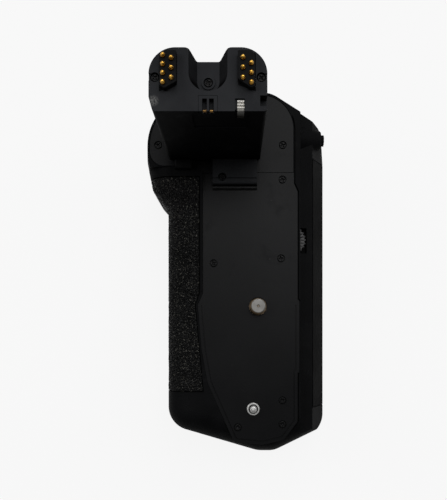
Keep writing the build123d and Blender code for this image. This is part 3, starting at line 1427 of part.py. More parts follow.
def lock_room(index, extra):
    """Slot for a bay's lock in the tray's rear wall."""
    x = bay_start(index) + BAY_WIDTH / 2
    half = LOCK_WIDTH / 2 + LOCK_CLEAR
    z1 = Z_TRAY_TOP
    return box(x - half, x + half, lock_y() - LOCK_TRAVEL - GAP - extra, Y_BAY_REAR + OVERRUN,
               z1 - LOCK_HEIGHT - LOCK_CLEAR, z1 + OVERRUN)


def battery_lock(index):
    """Sliding lock whose tip reaches over the battery's end."""
    x = bay_start(index) + BAY_WIDTH / 2
    half = LOCK_WIDTH / 2
    y0 = lock_y()
    top = Z_TRAY_TOP - LOCK_CLEAR
    plate = box(x - half, x + half, y0, y0 + LOCK_THICK, top - LOCK_HEIGHT + LOCK_CLEAR, top)
    return plate + box(x - half, x + half, y0, Y_BAY_REAR + LOCK_OVERHANG, top - LOCK_TIP_THICK, top)


def magazine_cover():
    """Rear panel of the magazine with the cup for the release knob."""
    x, z = knob_centre()
    solid = cover_blank(0)
    cup_in = Y_REAR + KNOB_CUP_DEPTH
    solid += upright_disc(x, z, Y_COVER_IN - FIT, cup_in + KNOB_CUP_WALL, CUP_RADIUS)
    solid -= upright_disc(x, z, Y_REAR - OVERRUN, cup_in, CUP_RADIUS - KNOB_CUP_WALL)
    solid -= upright_disc(x, z, cup_in - OVERRUN, cup_in + KNOB_CUP_WALL + OVERRUN, KNOB_SHAFT_RADIUS + RUN)
    for index in range(BAY_COUNT):
        solid -= lock_room(index, 0)
    return solid


def upright_disc(x, z, y0, y1, radius):
    """A round disc or hole about an axis along Y."""
    return Pos(x, (y0 + y1) / 2, z) * Rot(90, 0, 0) * Cylinder(radius, abs(y1 - y0))


def release_knob():
    """Quarter-turn knob: a base disc, a finger bar and a shaft."""
    x, z = knob_centre()
    floor = Y_REAR + KNOB_CUP_DEPTH - GAP
    disc = upright_disc(x, z, floor - KNOB_BASE_THICK, floor, KNOB_RADIUS)
    half = KNOB_BAR_WIDTH / 2
    bar = box(x - half, x + half, Y_REAR + GAP, floor, z - KNOB_RADIUS, z + KNOB_RADIUS)
    bar = bar & upright_disc(x, z, Y_REAR, floor, KNOB_RADIUS - FIT)
    tail = floor + KNOB_CUP_WALL + 2 * GAP + LATCH_THICK
    return disc + bar + upright_disc(x, z, floor - FIT, tail, KNOB_SHAFT_RADIUS)


def latch_cam():
    """Cam plate on the inner end of the knob's shaft."""
    x, z = knob_centre()
    y0 = Y_REAR + KNOB_CUP_DEPTH + KNOB_CUP_WALL + GAP
    y1 = y0 + LATCH_THICK
    cam = upright_disc(x, z, y0, y1, LATCH_HUB_RADIUS)
    cam += box(x - LATCH_WIDTH / 2, x + LATCH_WIDTH / 2, y0, y1, z, z + LATCH_REACH)
    cam &= upright_disc(x, z, y0, y1, LATCH_REACH)
    return cam - upright_disc(x, z, y0 - OVERRUN, y1 + OVERRUN, KNOB_SHAFT_RADIUS)


def magazine_seal():
    """Soft ring that closes the magazine's mouth."""
    return seal_ring(0)


TERMINAL_COUNT = 4
TERMINAL_SPACING = 6.0
TERMINAL_WIDTH = 3.0
TERMINAL_HEIGHT = 6.0
TERMINAL_THICK = 0.5
TERMINAL_Y = -5.0


def terminal_places():
    """Y of each magazine contact."""
    return [TERMINAL_Y + index * TERMINAL_SPACING for index in range(TERMINAL_COUNT)]


def contact_seat():
    """Pockets in the tray's end wall for its contacts."""
    z = (Z_TRAY_TOP + Z_TRAY_LOW) / 2
    seats = []
    for y in terminal_places():
        seats.append(box(X_TRAY_END - TERMINAL_THICK, X_TRAY_END + OVERRUN, y, y + TERMINAL_WIDTH,
                         z - TERMINAL_HEIGHT / 2, z + TERMINAL_HEIGHT / 2))
    return seats


def terminal_board():
    """Upright board in the end bay that carries the bay terminals."""
    x = X_CAVITY_END + WALL + OVERRUN
    y0 = TERMINAL_Y - TERMINAL_WIDTH
    y1 = terminal_places()[-1] + 2 * TERMINAL_WIDTH
    z = (Z_TRAY_TOP + Z_TRAY_LOW) / 2
    return box(x, x + BOARD_THICK, y0, y1, z - TERMINAL_HEIGHT, z + TERMINAL_HEIGHT)


def magazine_contacts():
    """Gilt plates set flush in the tray's end wall."""
    z = (Z_TRAY_TOP + Z_TRAY_LOW) / 2
    half = TERMINAL_HEIGHT / 2
    return [box(X_TRAY_END - TERMINAL_THICK, X_TRAY_END, y, y + TERMINAL_WIDTH, z - half, z + half)
            for y in terminal_places()]


def bay_terminals():
    """Gilt blocks through the housing's wall that face the tray's contacts."""
    z = (Z_TRAY_TOP + Z_TRAY_LOW) / 2
    half = TERMINAL_HEIGHT / 2 - GAP
    x0 = X_CAVITY_END
    return [box(x0, x0 + WALL + OVERRUN, y + GAP, y + TERMINAL_WIDTH - GAP, z - half, z + half)
            for y in terminal_places()]


def bay_terminal_holes():
    """Holes for those blocks."""
    z = (Z_TRAY_TOP + Z_TRAY_LOW) / 2
    half = TERMINAL_HEIGHT / 2 - GAP
    x0 = X_CAVITY_END
    return [box(x0 - OVERRUN, x0 + WALL + OVERRUN, y + GAP, y + TERMINAL_WIDTH - GAP, z - half, z + half)
            for y in terminal_places()]


# Shooting controls at the tower end

SHUTTER_ANGLE = 42
SHUTTER_Z = -16.0
SHUTTER_RADIUS = 5.2
SHUTTER_COLLAR_RADIUS = 7.2
SHUTTER_COLLAR_RISE = 0.8
SHUTTER_RISE = 1.8
SHUTTER_DEPTH = 4.2
SHUTTER_TRAVEL = 1.0
SHUTTER_DISH_RADIUS = 14.0
SHUTTER_STEM_RADIUS = 1.4
FUNCTION_ANGLE = 14
FUNCTION_Z = -10.5
FUNCTION_RADIUS = 2.4
FUNCTION_RISE = 0.7
BUTTON_TRAVEL = 0.6
BUTTON_DEPTH = 3.0
DIAL_RADIUS = 9.0
DIAL_WIDTH = 7.0
DIAL_Y = 14.0
DIAL_Z = -24.0
DIAL_PROUD = 1.4
DIAL_RIBS = 36
DIAL_RIB_DEPTH = 0.35
DIAL_CLEAR = 0.5


def shutter_frame():
    """Frame on the round front corner where the shutter button stands."""
    turn = math.radians(SHUTTER_ANGLE)
    x = X_END - END_FRONT_RADIUS + END_FRONT_RADIUS * math.cos(turn)
    y = Y_FRONT - END_FRONT_RADIUS + END_FRONT_RADIUS * math.sin(turn)
    return facing(x, y, SHUTTER_Z, SHUTTER_ANGLE)


def function_frame():
    """Frame beside the shutter button where the function button stands."""
    turn = math.radians(FUNCTION_ANGLE)
    x = X_END - END_FRONT_RADIUS + END_FRONT_RADIUS * math.cos(turn)
    y = Y_FRONT - END_FRONT_RADIUS + END_FRONT_RADIUS * math.sin(turn)
    return facing(x, y, FUNCTION_Z, FUNCTION_ANGLE)


def local_disc(z0, z1, radius):
    """A disc about a local Z axis."""
    return Pos(0, 0, (z0 + z1) / 2) * Cylinder(radius, abs(z1 - z0))


def shutter_collar():
    """Ring pressed into the corner round the shutter button."""
    ring = local_disc(-SHUTTER_DEPTH, SHUTTER_COLLAR_RISE, SHUTTER_COLLAR_RADIUS)
    ring = fillet(ring.faces().sort_by(Axis.Z)[-1].edges(), SHUTTER_COLLAR_RISE / 2)
    ring -= local_disc(-SHUTTER_DEPTH - OVERRUN, OVERRUN * 2, SHUTTER_RADIUS + RUN * 2)
    return shutter_frame() * ring


def shutter_button():
    """Dished shutter button on a stem."""
    cap = local_disc(-SHUTTER_DEPTH + SHUTTER_TRAVEL + GAP, SHUTTER_RISE, SHUTTER_RADIUS)
    cap = fillet(cap.faces().sort_by(Axis.Z)[-1].edges(), SHUTTER_COLLAR_RISE)
    cap -= Pos(0, 0, SHUTTER_RISE + SHUTTER_DISH_RADIUS - FIT * 4) * Sphere(SHUTTER_DISH_RADIUS)
    return shutter_frame() * cap


def function_button():
    """Small round button."""
    cap = local_disc(-BUTTON_DEPTH + BUTTON_TRAVEL + GAP, FUNCTION_RISE, FUNCTION_RADIUS)
    cap = fillet(cap.faces().sort_by(Axis.Z)[-1].edges(), FIT * 4)
    return function_frame() * cap


def dial_centre():
    """X of the main dial's axis."""
    return X_END + DIAL_PROUD - DIAL_RADIUS


def main_dial():
    """Ribbed dial on an axle along Y, standing a little out of the end."""
    x = dial_centre()
    profile = ribbed_face(DIAL_RADIUS, DIAL_RIBS, DIAL_RIB_DEPTH)
    wheel = Pos(x, DIAL_Y + DIAL_WIDTH / 2, DIAL_Z) * Rot(90, 0, 0) * extrude(profile, DIAL_WIDTH)
    return wheel - Pos(x, DIAL_Y, DIAL_Z) * Rot(90, 0, 0) * Cylinder(AXLE_RADIUS + RUN, DIAL_WIDTH + OVERRUN)


def dial_room():
    """Pocket for the dial, open at the end face and into the end bay."""
    x = dial_centre()
    half = DIAL_WIDTH / 2 + DIAL_CLEAR
    return upright_disc(x, DIAL_Z, DIAL_Y - half, DIAL_Y + half, DIAL_RADIUS + DIAL_CLEAR)


def dial_pocket():
    """Block in the end bay that holds the dial and its axle."""
    x = dial_centre()
    reach = DIAL_RADIUS + DIAL_CLEAR + WALL
    half = DIAL_WIDTH / 2 + DIAL_CLEAR + WALL
    return box(x - reach, X_END - WALL, DIAL_Y - half, DIAL_Y + half, DIAL_Z - reach, DIAL_Z + reach)


def dial_axle():
    """Pin that carries the dial between the pocket's walls."""
    x = dial_centre()
    length = DIAL_WIDTH + 2 * DIAL_CLEAR + 2 * WALL
    return Pos(x, DIAL_Y, DIAL_Z) * Rot(90, 0, 0) * Cylinder(AXLE_RADIUS, length)


def corner_frame(z):
    """Frame on the slanted rear corner at a height."""
    x0, y0 = X_END, across(END_REAR_SHARE)
    x1, y1 = along(REAR_END_SHARE), Y_REAR + REAR_TAPER
    turn = math.degrees(math.atan2(-(x0 - x1), y0 - y1))
    return facing((x0 + x1) / 2, (y0 + y1) / 2, z, turn)


PANEL_LENGTH = 33.0
PANEL_WIDTH = 12.0
PANEL_THICK = 1.0
PANEL_RADIUS = 5.0
PANEL_Z = -27.0
REAR_BUTTON_RADIUS = 3.0
REAR_BUTTON_RISE = 1.2
REAR_BUTTON_SPACING = 10.0
REAR_BUTTON_DEPTH = 3.4


def rear_button_heights():
    """Heights of the three rear buttons."""
    return [PANEL_Z + step * REAR_BUTTON_SPACING for step in (1, 0, -1)]


def panel_face(grow):
    """Round-ended plan of the button panel, long along local X."""
    return RectangleRounded(PANEL_LENGTH + 2 * grow, PANEL_WIDTH + 2 * grow, PANEL_RADIUS)


def button_panel():
    """Bezel let into the slanted corner with three button holes."""
    plate = Pos(0, 0, -PANEL_THICK + FIT) * extrude(panel_face(0), PANEL_THICK)
    for step in (1, 0, -1):
        hole = local_disc(-BUTTON_DEPTH, BUTTON_DEPTH, REAR_BUTTON_RADIUS + FIT)
        plate -= Pos(step * REAR_BUTTON_SPACING, 0, 0) * hole
    return corner_frame(PANEL_Z) * plate


def rear_button(z):
    """Round button on the slanted corner."""
    cap = local_disc(-REAR_BUTTON_DEPTH + BUTTON_TRAVEL + GAP, REAR_BUTTON_RISE, REAR_BUTTON_RADIUS)
    cap = fillet(cap.faces().sort_by(Axis.Z)[-1].edges(), FIT * 4)
    return corner_frame(z) * cap


SWITCH_END_REACH = 18.6
SWITCH_X = X_END - SWITCH_END_REACH
SWITCH_Z = -8.0
SWITCH_RADIUS = 2.3
SWITCH_SETBACK = 1.9
SWITCH_RISE = 1.3
SWITCH_THROW = 40
SWITCH_RIBS = 10
SWITCH_SHAFT_RADIUS = 1.2
SWITCH_SHAFT = 5.0


def power_switch():
    """Ribbed rotary switch that stands out of the ridge's end."""
    face = Y_REAR + SWITCH_SETBACK
    knob = Pos(SWITCH_X, face + OVERRUN, SWITCH_Z) * Rot(90, 0, 0) * extrude(
        ribbed_face(SWITCH_RADIUS, SWITCH_RIBS, DIAL_RIB_DEPTH), SWITCH_RISE + OVERRUN)
    return knob + upright_disc(SWITCH_X, SWITCH_Z, face, face + SWITCH_SHAFT, SWITCH_SHAFT_RADIUS)


def control_cuts():
    """Openings in the housing for every control."""
    cuts = [shutter_frame() * local_disc(-SHUTTER_DEPTH, OVERRUN * 2, SHUTTER_COLLAR_RADIUS)]
    cuts.append(function_frame() * local_disc(-BUTTON_DEPTH, OVERRUN * 2, FUNCTION_RADIUS + FIT))
    cuts.append(dial_room())
    cuts.append(dial_axle())
    panel_seat = Pos(0, 0, -PANEL_THICK) * extrude(panel_face(FIT), PANEL_THICK + OVERRUN)
    cuts.append(corner_frame(PANEL_Z) * panel_seat)
    for z in rear_button_heights():
        cuts.append(corner_frame(z) * local_disc(-REAR_BUTTON_DEPTH, OVERRUN, REAR_BUTTON_RADIUS + FIT))
    face = Y_REAR + SWITCH_SETBACK
    cuts.append(upright_disc(SWITCH_X, SWITCH_Z, face - OVERRUN, face + OVERRUN + GAP, SWITCH_RADIUS + GAP))
    cuts.append(upright_disc(SWITCH_X, SWITCH_Z, face, face + SWITCH_SHAFT + GAP, SWITCH_SHAFT_RADIUS + RUN))
    cuts += bay_terminal_holes()
    cuts.append(strap_room())
    return cuts


# Base

SOCKET_FLANGE_RADIUS = 6.0
PAD_OUTER = 15.0
PAD_THICK = 0.6
BASE_SCREW_LENGTH = 3.4
BASE_SCREW_SHARES = ((0.1, 0.16), (0.1, 0.74), (0.84, 0.12), (0.78, 0.89))
STRAP_END_REACH = 14.2
STRAP_X = X_END - STRAP_END_REACH
STRAP_Y = 30.0
STRAP_LENGTH = 9.0
STRAP_WIDTH = 7.0
STRAP_DEPTH = 5.0
STRAP_BAR_RADIUS = 1.1
STRAP_BAR_DROP = 1.6


def tripod_socket():
    """Steel bush with the tripod thread, set in the base."""
    bush = post(0, 0, Z_BASE, Z_BASE + SOCKET_DEPTH, SOCKET_FLANGE_RADIUS)
    return bush - post(0, 0, Z_BASE - OVERRUN, Z_BASE + SOCKET_DEPTH + OVERRUN, SOCKET_RADIUS)


def tripod_pad():
    """Rubber ring round the tripod bush, let into the base."""
    ring = post(0, 0, Z_BASE, Z_BASE + PAD_THICK, PAD_OUTER)
    return ring - post(0, 0, Z_BASE - OVERRUN, OVERRUN, SOCKET_FLANGE_RADIUS + FIT)


def base_screw_places():
    """Centres of the four screws in the base."""
    return [(along(u), across(v)) for u, v in BASE_SCREW_SHARES]


def base_screws():
    """The four screws in the base, heads down."""
    return [mirror(cross_screw(x, y, -Z_BASE, BASE_SCREW_LENGTH), Plane.XY) for x, y in base_screw_places()]


def strap_room():
    """Pocket in the base for a hand strap."""
    return box(STRAP_X - STRAP_LENGTH / 2, STRAP_X + STRAP_LENGTH / 2, STRAP_Y - STRAP_WIDTH / 2,
               STRAP_Y + STRAP_WIDTH / 2, Z_BASE - OVERRUN, Z_BASE + STRAP_DEPTH)


def strap_bar():
    """Steel bar across the strap pocket."""
    z = Z_BASE + STRAP_BAR_DROP + STRAP_BAR_RADIUS
    return Pos(STRAP_X, STRAP_Y, z) * Rot(90, 0, 0) * Cylinder(STRAP_BAR_RADIUS, STRAP_WIDTH)


def plate_screws():
    """All screws in the plate, with the bracket's and the holder's."""
    screws = [cross_screw(x, y, 0, SCREW_SHANK_LENGTH) for x, y in plate_screw_places()]
    screws += [cross_screw(x, y, 0, BRACKET_SCREW_LENGTH) for x, y in BRACKET_SCREWS]
    screws.append(cross_screw(HOLDER_SCREW_X, HOLDER_SCREW_Y, Z_HOLDER_SCREW, HOLDER_SCREW_LENGTH))
    return screws


def cover_screws():
    """The two screws beside the tower's foot."""
    return [cross_screw(x, y, 0, SCREW_SHANK_LENGTH) for x, y in cover_screw_places()]


def tower_screws():
    """The three screws of the tower's head."""
    return [cross_screw(x, y, z, HEAD_SCREW_LENGTH, SMALL_HEAD_RADIUS) for x, y, z in tower_screw_places()]


def front_grip():
    """Rubber hand grip."""
    return grip_skin(0)


# Export

NODES = {
    "housing": housing,
    "top_plate": top_plate,
    "tower_cover": tower_cover,
    "front_grip": front_grip,
    "tower_case": tower_case,
    "tower_head": tower_head,
    "left_pin_block": left_pin_block,
    "right_pin_block": right_pin_block,
    "left_contact_pins": lambda: contact_pins(left_places()),
    "right_contact_pins": lambda: contact_pins(right_places()),
    "contact_socket": contact_socket,
    "socket_contacts": socket_contacts,
    "leaf_contact": leaf_contact,
    "tower_screws": tower_screws,
    "tower_board": tower_board,
    "flex_cable": flex_cable,
    "door_holder": door_holder,
    "door_holder_spring": door_holder_spring,
    "door_holder_pad": door_holder_pad,
    "tower_stop": tower_stop,
    "attachment_screw": attachment_screw,
    "screw_gear": screw_gear,
    "idler_gear": idler_gear,
    "thumbwheel": thumbwheel,
    "gear_axles": gear_axles,
    "gear_bracket": gear_bracket,
    "locating_pin": locating_pin,
    "plate_screws": plate_screws,
    "cover_screws": cover_screws,
    "main_board": main_board,
    "board_parts": board_parts,
    "magazine_tray": magazine_tray,
    "magazine_cover": magazine_cover,
    "magazine_seal": magazine_seal,
    "magazine_contacts": magazine_contacts,
    "bay_terminals": bay_terminals,
    "terminal_board": terminal_board,
    "release_knob": release_knob,
    "latch_cam": latch_cam,
    "far_battery_lock": lambda: battery_lock(0),
    "near_battery_lock": lambda: battery_lock(1),
    "shutter_button": shutter_button,
    "shutter_collar": shutter_collar,
    "function_button": function_button,
    "main_dial": main_dial,
    "dial_axle": dial_axle,
    "button_panel": button_panel,
    "start_button": lambda: rear_button(rear_button_heights()[0]),
    "hold_button": lambda: rear_button(rear_button_heights()[1]),
    "point_button": lambda: rear_button(rear_button_heights()[2]),
    "power_switch": power_switch,
    "tripod_socket": tripod_socket,
    "tripod_pad": tripod_pad,
    "base_screws": base_screws,
    "strap_bar": strap_bar,
}

for name, make in NODES.items():
    made = make()
    group = made if isinstance(made, list) else [made]
    solids = [solid for item in group for solid in item.solids()]
    shape = solids[0] if len(solids) == 1 else Compound(children=solids)
    export_step(shape, "parts/" + name + ".step")
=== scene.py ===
"""Looks of a camera battery grip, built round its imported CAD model."""

import json
import logging
import math
from dataclasses import dataclass
from enum import Enum
from functools import cached_property

import bpy
import numpy as np
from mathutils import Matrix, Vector
from mathutils.geometry import tessellate_polygon

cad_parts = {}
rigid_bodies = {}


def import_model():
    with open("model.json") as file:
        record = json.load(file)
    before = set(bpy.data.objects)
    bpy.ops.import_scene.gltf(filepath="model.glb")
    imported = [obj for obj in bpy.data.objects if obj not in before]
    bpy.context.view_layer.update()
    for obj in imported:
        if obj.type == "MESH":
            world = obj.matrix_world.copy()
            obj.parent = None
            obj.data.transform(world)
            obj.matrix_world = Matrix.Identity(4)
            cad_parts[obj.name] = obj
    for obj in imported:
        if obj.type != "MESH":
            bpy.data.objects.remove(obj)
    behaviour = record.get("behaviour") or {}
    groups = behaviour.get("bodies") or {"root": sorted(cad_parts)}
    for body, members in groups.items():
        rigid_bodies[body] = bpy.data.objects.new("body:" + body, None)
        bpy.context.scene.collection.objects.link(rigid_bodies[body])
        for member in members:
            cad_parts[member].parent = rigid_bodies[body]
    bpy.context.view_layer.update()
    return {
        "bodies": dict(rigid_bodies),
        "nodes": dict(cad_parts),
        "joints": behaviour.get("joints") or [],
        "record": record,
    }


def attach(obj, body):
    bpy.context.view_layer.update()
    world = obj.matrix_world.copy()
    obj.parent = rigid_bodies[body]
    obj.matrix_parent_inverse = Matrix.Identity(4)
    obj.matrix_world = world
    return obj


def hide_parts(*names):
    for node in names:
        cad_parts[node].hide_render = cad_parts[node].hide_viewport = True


MM = 0.001
FULL_TURN = 2 * math.pi
LOG = logging.getLogger("battery_grip")
Socket = bpy.types.NodeSocket


class Shade(Enum):
    """How a new mesh is shaded."""

    SMOOTH = "smooth"
    FLAT = "flat"


# Meshes

def grid_faces(rows: int, columns: int, wrap: bool = False) -> np.ndarray:
    """Quads of a grid of points, numbered along its rows.

    Args:
        rows: Number of rows of points.
        columns: Number of points in a row.
        wrap: Whether the last column joins the first.

    Returns:
        One row of four vertex numbers for each quad.
    """
    span = columns if wrap else columns - 1
    row, column = np.meshgrid(np.arange(rows - 1), np.arange(span), indexing="ij")
    first = row * columns + column
    second = row * columns + (column + 1) % columns
    return np.stack([first, second, second + columns, first + columns], axis=-1).reshape(-1, 4)


def circle(radius: float, steps: int) -> np.ndarray:
    """Points (r cos t, r sin t) of a circle, anticlockwise."""
    turn = np.linspace(0, FULL_TURN, steps, endpoint=False)
    return radius * np.stack([np.cos(turn), np.sin(turn)], axis=-1)


def turned_points(profile: np.ndarray, steps: int) -> np.ndarray:
    """Points of a turned shape: each profile point (r, z) goes round the Z axis.

    Args:
        profile: Radius and height of each profile point.
        steps: Points in one turn.

    Returns:
        Points as (profile, steps, 3), at r cos t, r sin t, z.
    """
    turn = np.linspace(0, FULL_TURN, steps, endpoint=False)
    radius, height = profile[:, 0:1], profile[:, 1:2]
    return np.stack([radius * np.cos(turn), radius * np.sin(turn), height + 0 * turn], axis=-1)


def closed_rings(rings: np.ndarray, top: float, low: float) -> tuple:
    """Rings of points round the Z axis, closed by a fan round one vertex at each end.

    Args:
        rings: Points as (rings, steps, 3), from the top down the outside.
        top: Height of the first end's middle.
        low: Height of the last end's middle.

    Returns:
        Points and faces.
    """
    count, steps = rings.shape[:2]
    points = np.vstack([rings.reshape(-1, 3), [[0, 0, top]], [[0, 0, low]]])
    faces = [f[::-1] for f in grid_faces(count, steps, wrap=True)]
    around = np.arange(steps)
    after = (around + 1) % steps
    last = (count - 1) * steps
    faces += [(count * steps, a, b) for a, b in zip(around, after)]
    faces += [(count * steps + 1, last + b, last + a) for a, b in zip(around, after)]
    return points, faces


def closed_turning(profile: np.ndarray, steps: int) -> tuple:
    """A turned shape whose first and last profile points lie on the axis.

    Args:
        profile: Radius and height from the top's middle, down the outside, to the bottom's.
        steps: Points in one turn.

    Returns:
        Points and faces.
    """
    return closed_rings(turned_points(profile[1:-1], steps), profile[0, 1], profile[-1, 1])


def moved(points: np.ndarray, place: tuple) -> np.ndarray:
    """Points moved by an (x, y, z) in millimetres."""
    return points + np.asarray(place, float)


def merged(parts: list) -> tuple:
    """Joins several (points, faces) into one.

    Args:
        parts: Pairs of points and faces.

    Returns:
        One array of points and one list of faces.
    """
    points, faces, start = [], [], 0
    for some_points, some_faces in parts:
        points.append(some_points)
        faces += [tuple(int(i) + start for i in f) for f in some_faces]
        start += len(some_points)
    return np.vstack(points), faces


def rounded_path(corners: tuple, radii: tuple, arc_steps: int) -> np.ndarray:
    """An open plan line whose inner corners are rounded by tangent arcs.

    Args:
        corners: Corner places (x, y).
        radii: Radius at each corner, 0 at both ends.
        arc_steps: Points in each arc.

    Returns:
        Points along the line.
    """
    points = [np.asarray(corners[0], float)]
    for index in range(1, len(corners) - 1):
        here = np.asarray(corners[index], float)
        back = np.asarray(corners[index - 1], float) - here
        ahead = np.asarray(corners[index + 1], float) - here
        back, ahead = back / np.linalg.norm(back), ahead / np.linalg.norm(ahead)
        half = math.acos(float(np.clip(back @ ahead, -1, 1))) / 2
        reach = radii[index] / math.tan(half)
        inwards = (back + ahead) / np.linalg.norm(back + ahead)
        centre = here + inwards * radii[index] / math.sin(half)
        first, last = here + back * reach, here + ahead * reach
        start = math.atan2(*(first - centre)[::-1])
        turn = math.atan2(*(last - centre)[::-1]) - start
        turn = (turn + math.pi) % FULL_TURN - math.pi
        angles = start + np.linspace(0, 1, arc_steps) * turn
        arc = np.stack([np.cos(angles), np.sin(angles)], axis=-1)
        points += list(centre + radii[index] * arc)
    points.append(np.asarray(corners[-1], float))
    return np.asarray(points)


def resampled(path: np.ndarray, count: int) -> np.ndarray:
    """Points spaced evenly along a line.

    Args:
        path: Points of the line.
        count: Number of points wanted.

    Returns:
        The evenly spaced points.
    """
    steps = np.linalg.norm(np.diff(path, axis=0), axis=1)
    length = np.concatenate([[0], np.cumsum(steps)])
    wanted = np.linspace(0, length[-1], count)
    return np.stack([np.interp(wanted, length, path[:, i]) for i in range(path.shape[1])], axis=-1)


def strip(loop: np.ndarray, y0: float, y1: float) -> tuple:
    """A closed (x, z) outline run along Y, with both ends closed.

    Args:
        loop: Outline points (x, z), each once.
        y0: Where the strip starts.
        y1: Where it ends.

    Returns:
        Points and faces.
    """
    count = len(loop)
    ends = [np.stack([loop[:, 0], np.full(count, y), loop[:, 1]], axis=-1) for y in (y0, y1)]
    around = np.arange(count)
    after = (around + 1) % count
    sides = np.stack([around, around + count, after + count, after], axis=-1)
    faces = [*map(tuple, sides), tuple(around), tuple(around[::-1] + count)]
    x, z = loop[:, 0], loop[:, 1]
    if np.sum(x * np.roll(z, -1) - np.roll(x, -1) * z) < 0:
        faces = [f[::-1] for f in faces]
    return np.vstack(ends), faces


def thick_line(line: np.ndarray, thick: float) -> np.ndarray:
    """A closed outline: a line, and the same line moved aside by its thickness."""
    ahead = np.gradient(line, axis=0)
    ahead /= np.linalg.norm(ahead, axis=1, keepdims=True) + 1e-9
    side = np.stack([ahead[:, 1], -ahead[:, 0]], axis=-1)
    return np.vstack([line, (line + side * thick)[::-1]])


def smooth_step(value: np.ndarray) -> np.ndarray:
    """Three v squared minus two v cubed, with v held between 0 and 1."""
    value = np.clip(value, 0, 1)
    return value * value * (3 - 2 * value)


def scattered(u: np.ndarray, v: np.ndarray, first: float, second: float) -> np.ndarray:
    """The fraction of 43758.5453 sin(a u + b v), which jumps about between 0 and 1."""
    value = np.sin(u * first + v * second) * 43758.5453
    return value - np.floor(value)


# Shader nodes

class Nodes:
    """Short ways to add nodes to one tree."""

    def __init__(self, tree: bpy.types.NodeTree) -> None:
        """Keeps the tree."""
        self.tree = tree

    def feed(self, node: bpy.types.Node, feeds: dict) -> None:
        """Sets or links a node's inputs.

        Args:
            node: The node.
            feeds: A value, or the socket to link, for each input by name or number.
        """
        for label, value in feeds.items():
            if isinstance(value, Socket):
                self.tree.links.new(value, node.inputs[label])
            else:
                node.inputs[label].default_value = value

    def add(self, kind: str, feeds: dict, **settings: object) -> bpy.types.Node:
        """Adds a node.

        Args:
            kind: The node's type after "ShaderNode".
            feeds: A value, or the socket to link, for each input by name or number.
            settings: The node's own settings.

        Returns:
            The new node.
        """
        node = self.tree.nodes.new("ShaderNode" + kind)
        for label, value in settings.items():
            setattr(node, label, value)
        self.feed(node, feeds)
        return node

    def calculate(self, operation: str, first: object, second: object) -> Socket:
        """Result of a Math node on two values or sockets."""
        return self.add("Math", {0: first, 1: second}, operation=operation).outputs[0]

    def mapped(self, value: Socket, start: float, end: float, low: float = 0.0,
               high: float = 1.0) -> Socket:
        """Maps start..end of a value to low..high, and holds it between them.

        Args:
            value: Socket to map.
            start: Value that gives low.
            end: Value that gives high.
            low: Result at the start.
            high: Result at the end.

        Returns:
            The mapped value's socket.
        """
        feeds = {"Value": value, "From Min": start, "From Max": end, "To Min": low, "To Max": high}
        return self.add("MapRange", feeds).outputs["Result"]


class GroupTree(Nodes):
    """A new node group with a Vector input."""

    def __init__(self, name: str, values: dict, results: tuple) -> None:
        """Makes the group's sockets.

        Args:
            name: The group's name.
            values: Name and default of each input beside the Vector.
            results: Names of the outputs.
        """
        super().__init__(bpy.data.node_groups.new(name, "ShaderNodeTree"))
        self.socket("Vector", "INPUT", "NodeSocketVector")
        for label, value in values.items():
            self.socket(label, "INPUT").default_value = value
        for label in results:
            self.socket(label, "OUTPUT")
        self.inputs = self.tree.nodes.new("NodeGroupInput").outputs
        self.leave = self.tree.nodes.new("NodeGroupOutput")

    def socket(self, label: str, side: str, kind: str = "NodeSocketFloat") -> object:
        """Adds a socket to the group's interface."""
        return self.tree.interface.new_socket(name=label, in_out=side, socket_type=kind)

    def texture(self, kind: str, scale: object, **values: float) -> bpy.types.NodeOutputs:
        """Adds a texture in the group's Vector and returns its outputs."""
        return self.add(kind, {"Vector": self.inputs["Vector"], "Scale": scale, **values}).outputs

    def finish(self, *results: Socket) -> bpy.types.NodeTree:
        """Links the results to the outputs, in their order, and returns the group."""
        self.feed(self.leave, dict(enumerate(results)))
        return self.tree


class ShaderGroups:
    """Node groups that several finishes share, each built once."""

    @cached_property
    def fine_grain(self) -> bpy.types.NodeTree:
        """Two scales of noise as a height and a mask: moulded or sprayed grain."""
        group = GroupTree("fine_grain", {"Scale": 2500.0, "Patch Scale": 60.0},
                          ("Height", "Patches"))
        fine = group.texture("TexNoise", group.inputs["Scale"], Detail=2.0)
        broad = group.texture("TexNoise", group.inputs["Patch Scale"], Detail=5.0, Roughness=0.6)
        return group.finish(fine["Fac"], group.mapped(broad["Fac"], 0.35, 0.65))

    @cached_property
    def pebbles(self) -> bpy.types.NodeTree:
        """Cells with sunk seams between them: leather grain in rubber."""
        group = GroupTree("pebbles", {"Scale": 700.0, "Seam": 0.16}, ("Height", "Seams"))
        stir = group.texture("TexNoise", 260.0, Detail=3.0)
        shift = group.add("VectorMath", {0: stir["Color"], 1: (0.0016, 0.0016, 0.0016),
                                         2: group.inputs["Vector"]}, operation="MULTIPLY_ADD")
        cells = group.add(
            "TexVoronoi", {"Vector": shift.outputs["Vector"], "Scale": group.inputs["Scale"]},
            feature="DISTANCE_TO_EDGE")
        dome = group.add(
            "MapRange", {"Value": cells.outputs["Distance"], "From Max": group.inputs["Seam"]},
            interpolation_type="SMOOTHSTEP").outputs["Result"]
        return group.finish(dome, group.calculate("SUBTRACT", 1.0, dome))

    @cached_property
    def wear(self) -> bpy.types.NodeTree:
        """Scattered scuffs, and dust specks inside them, as two masks."""
        group = GroupTree("wear", {"Scale": 90.0, "Amount": 0.3}, ("Scuffs", "Specks"))
        smear = group.texture("TexNoise", group.inputs["Scale"], Detail=8.0, Roughness=0.72)
        scuffs = group.calculate("MULTIPLY", group.mapped(smear["Fac"], 0.56, 0.74),
                                 group.inputs["Amount"])
        dots = group.mapped(group.texture("TexVoronoi", 420.0)["Distance"], 0.11, 0.05)
        return group.finish(scuffs, group.calculate("MULTIPLY", dots, scuffs))


GROUPS = ShaderGroups()


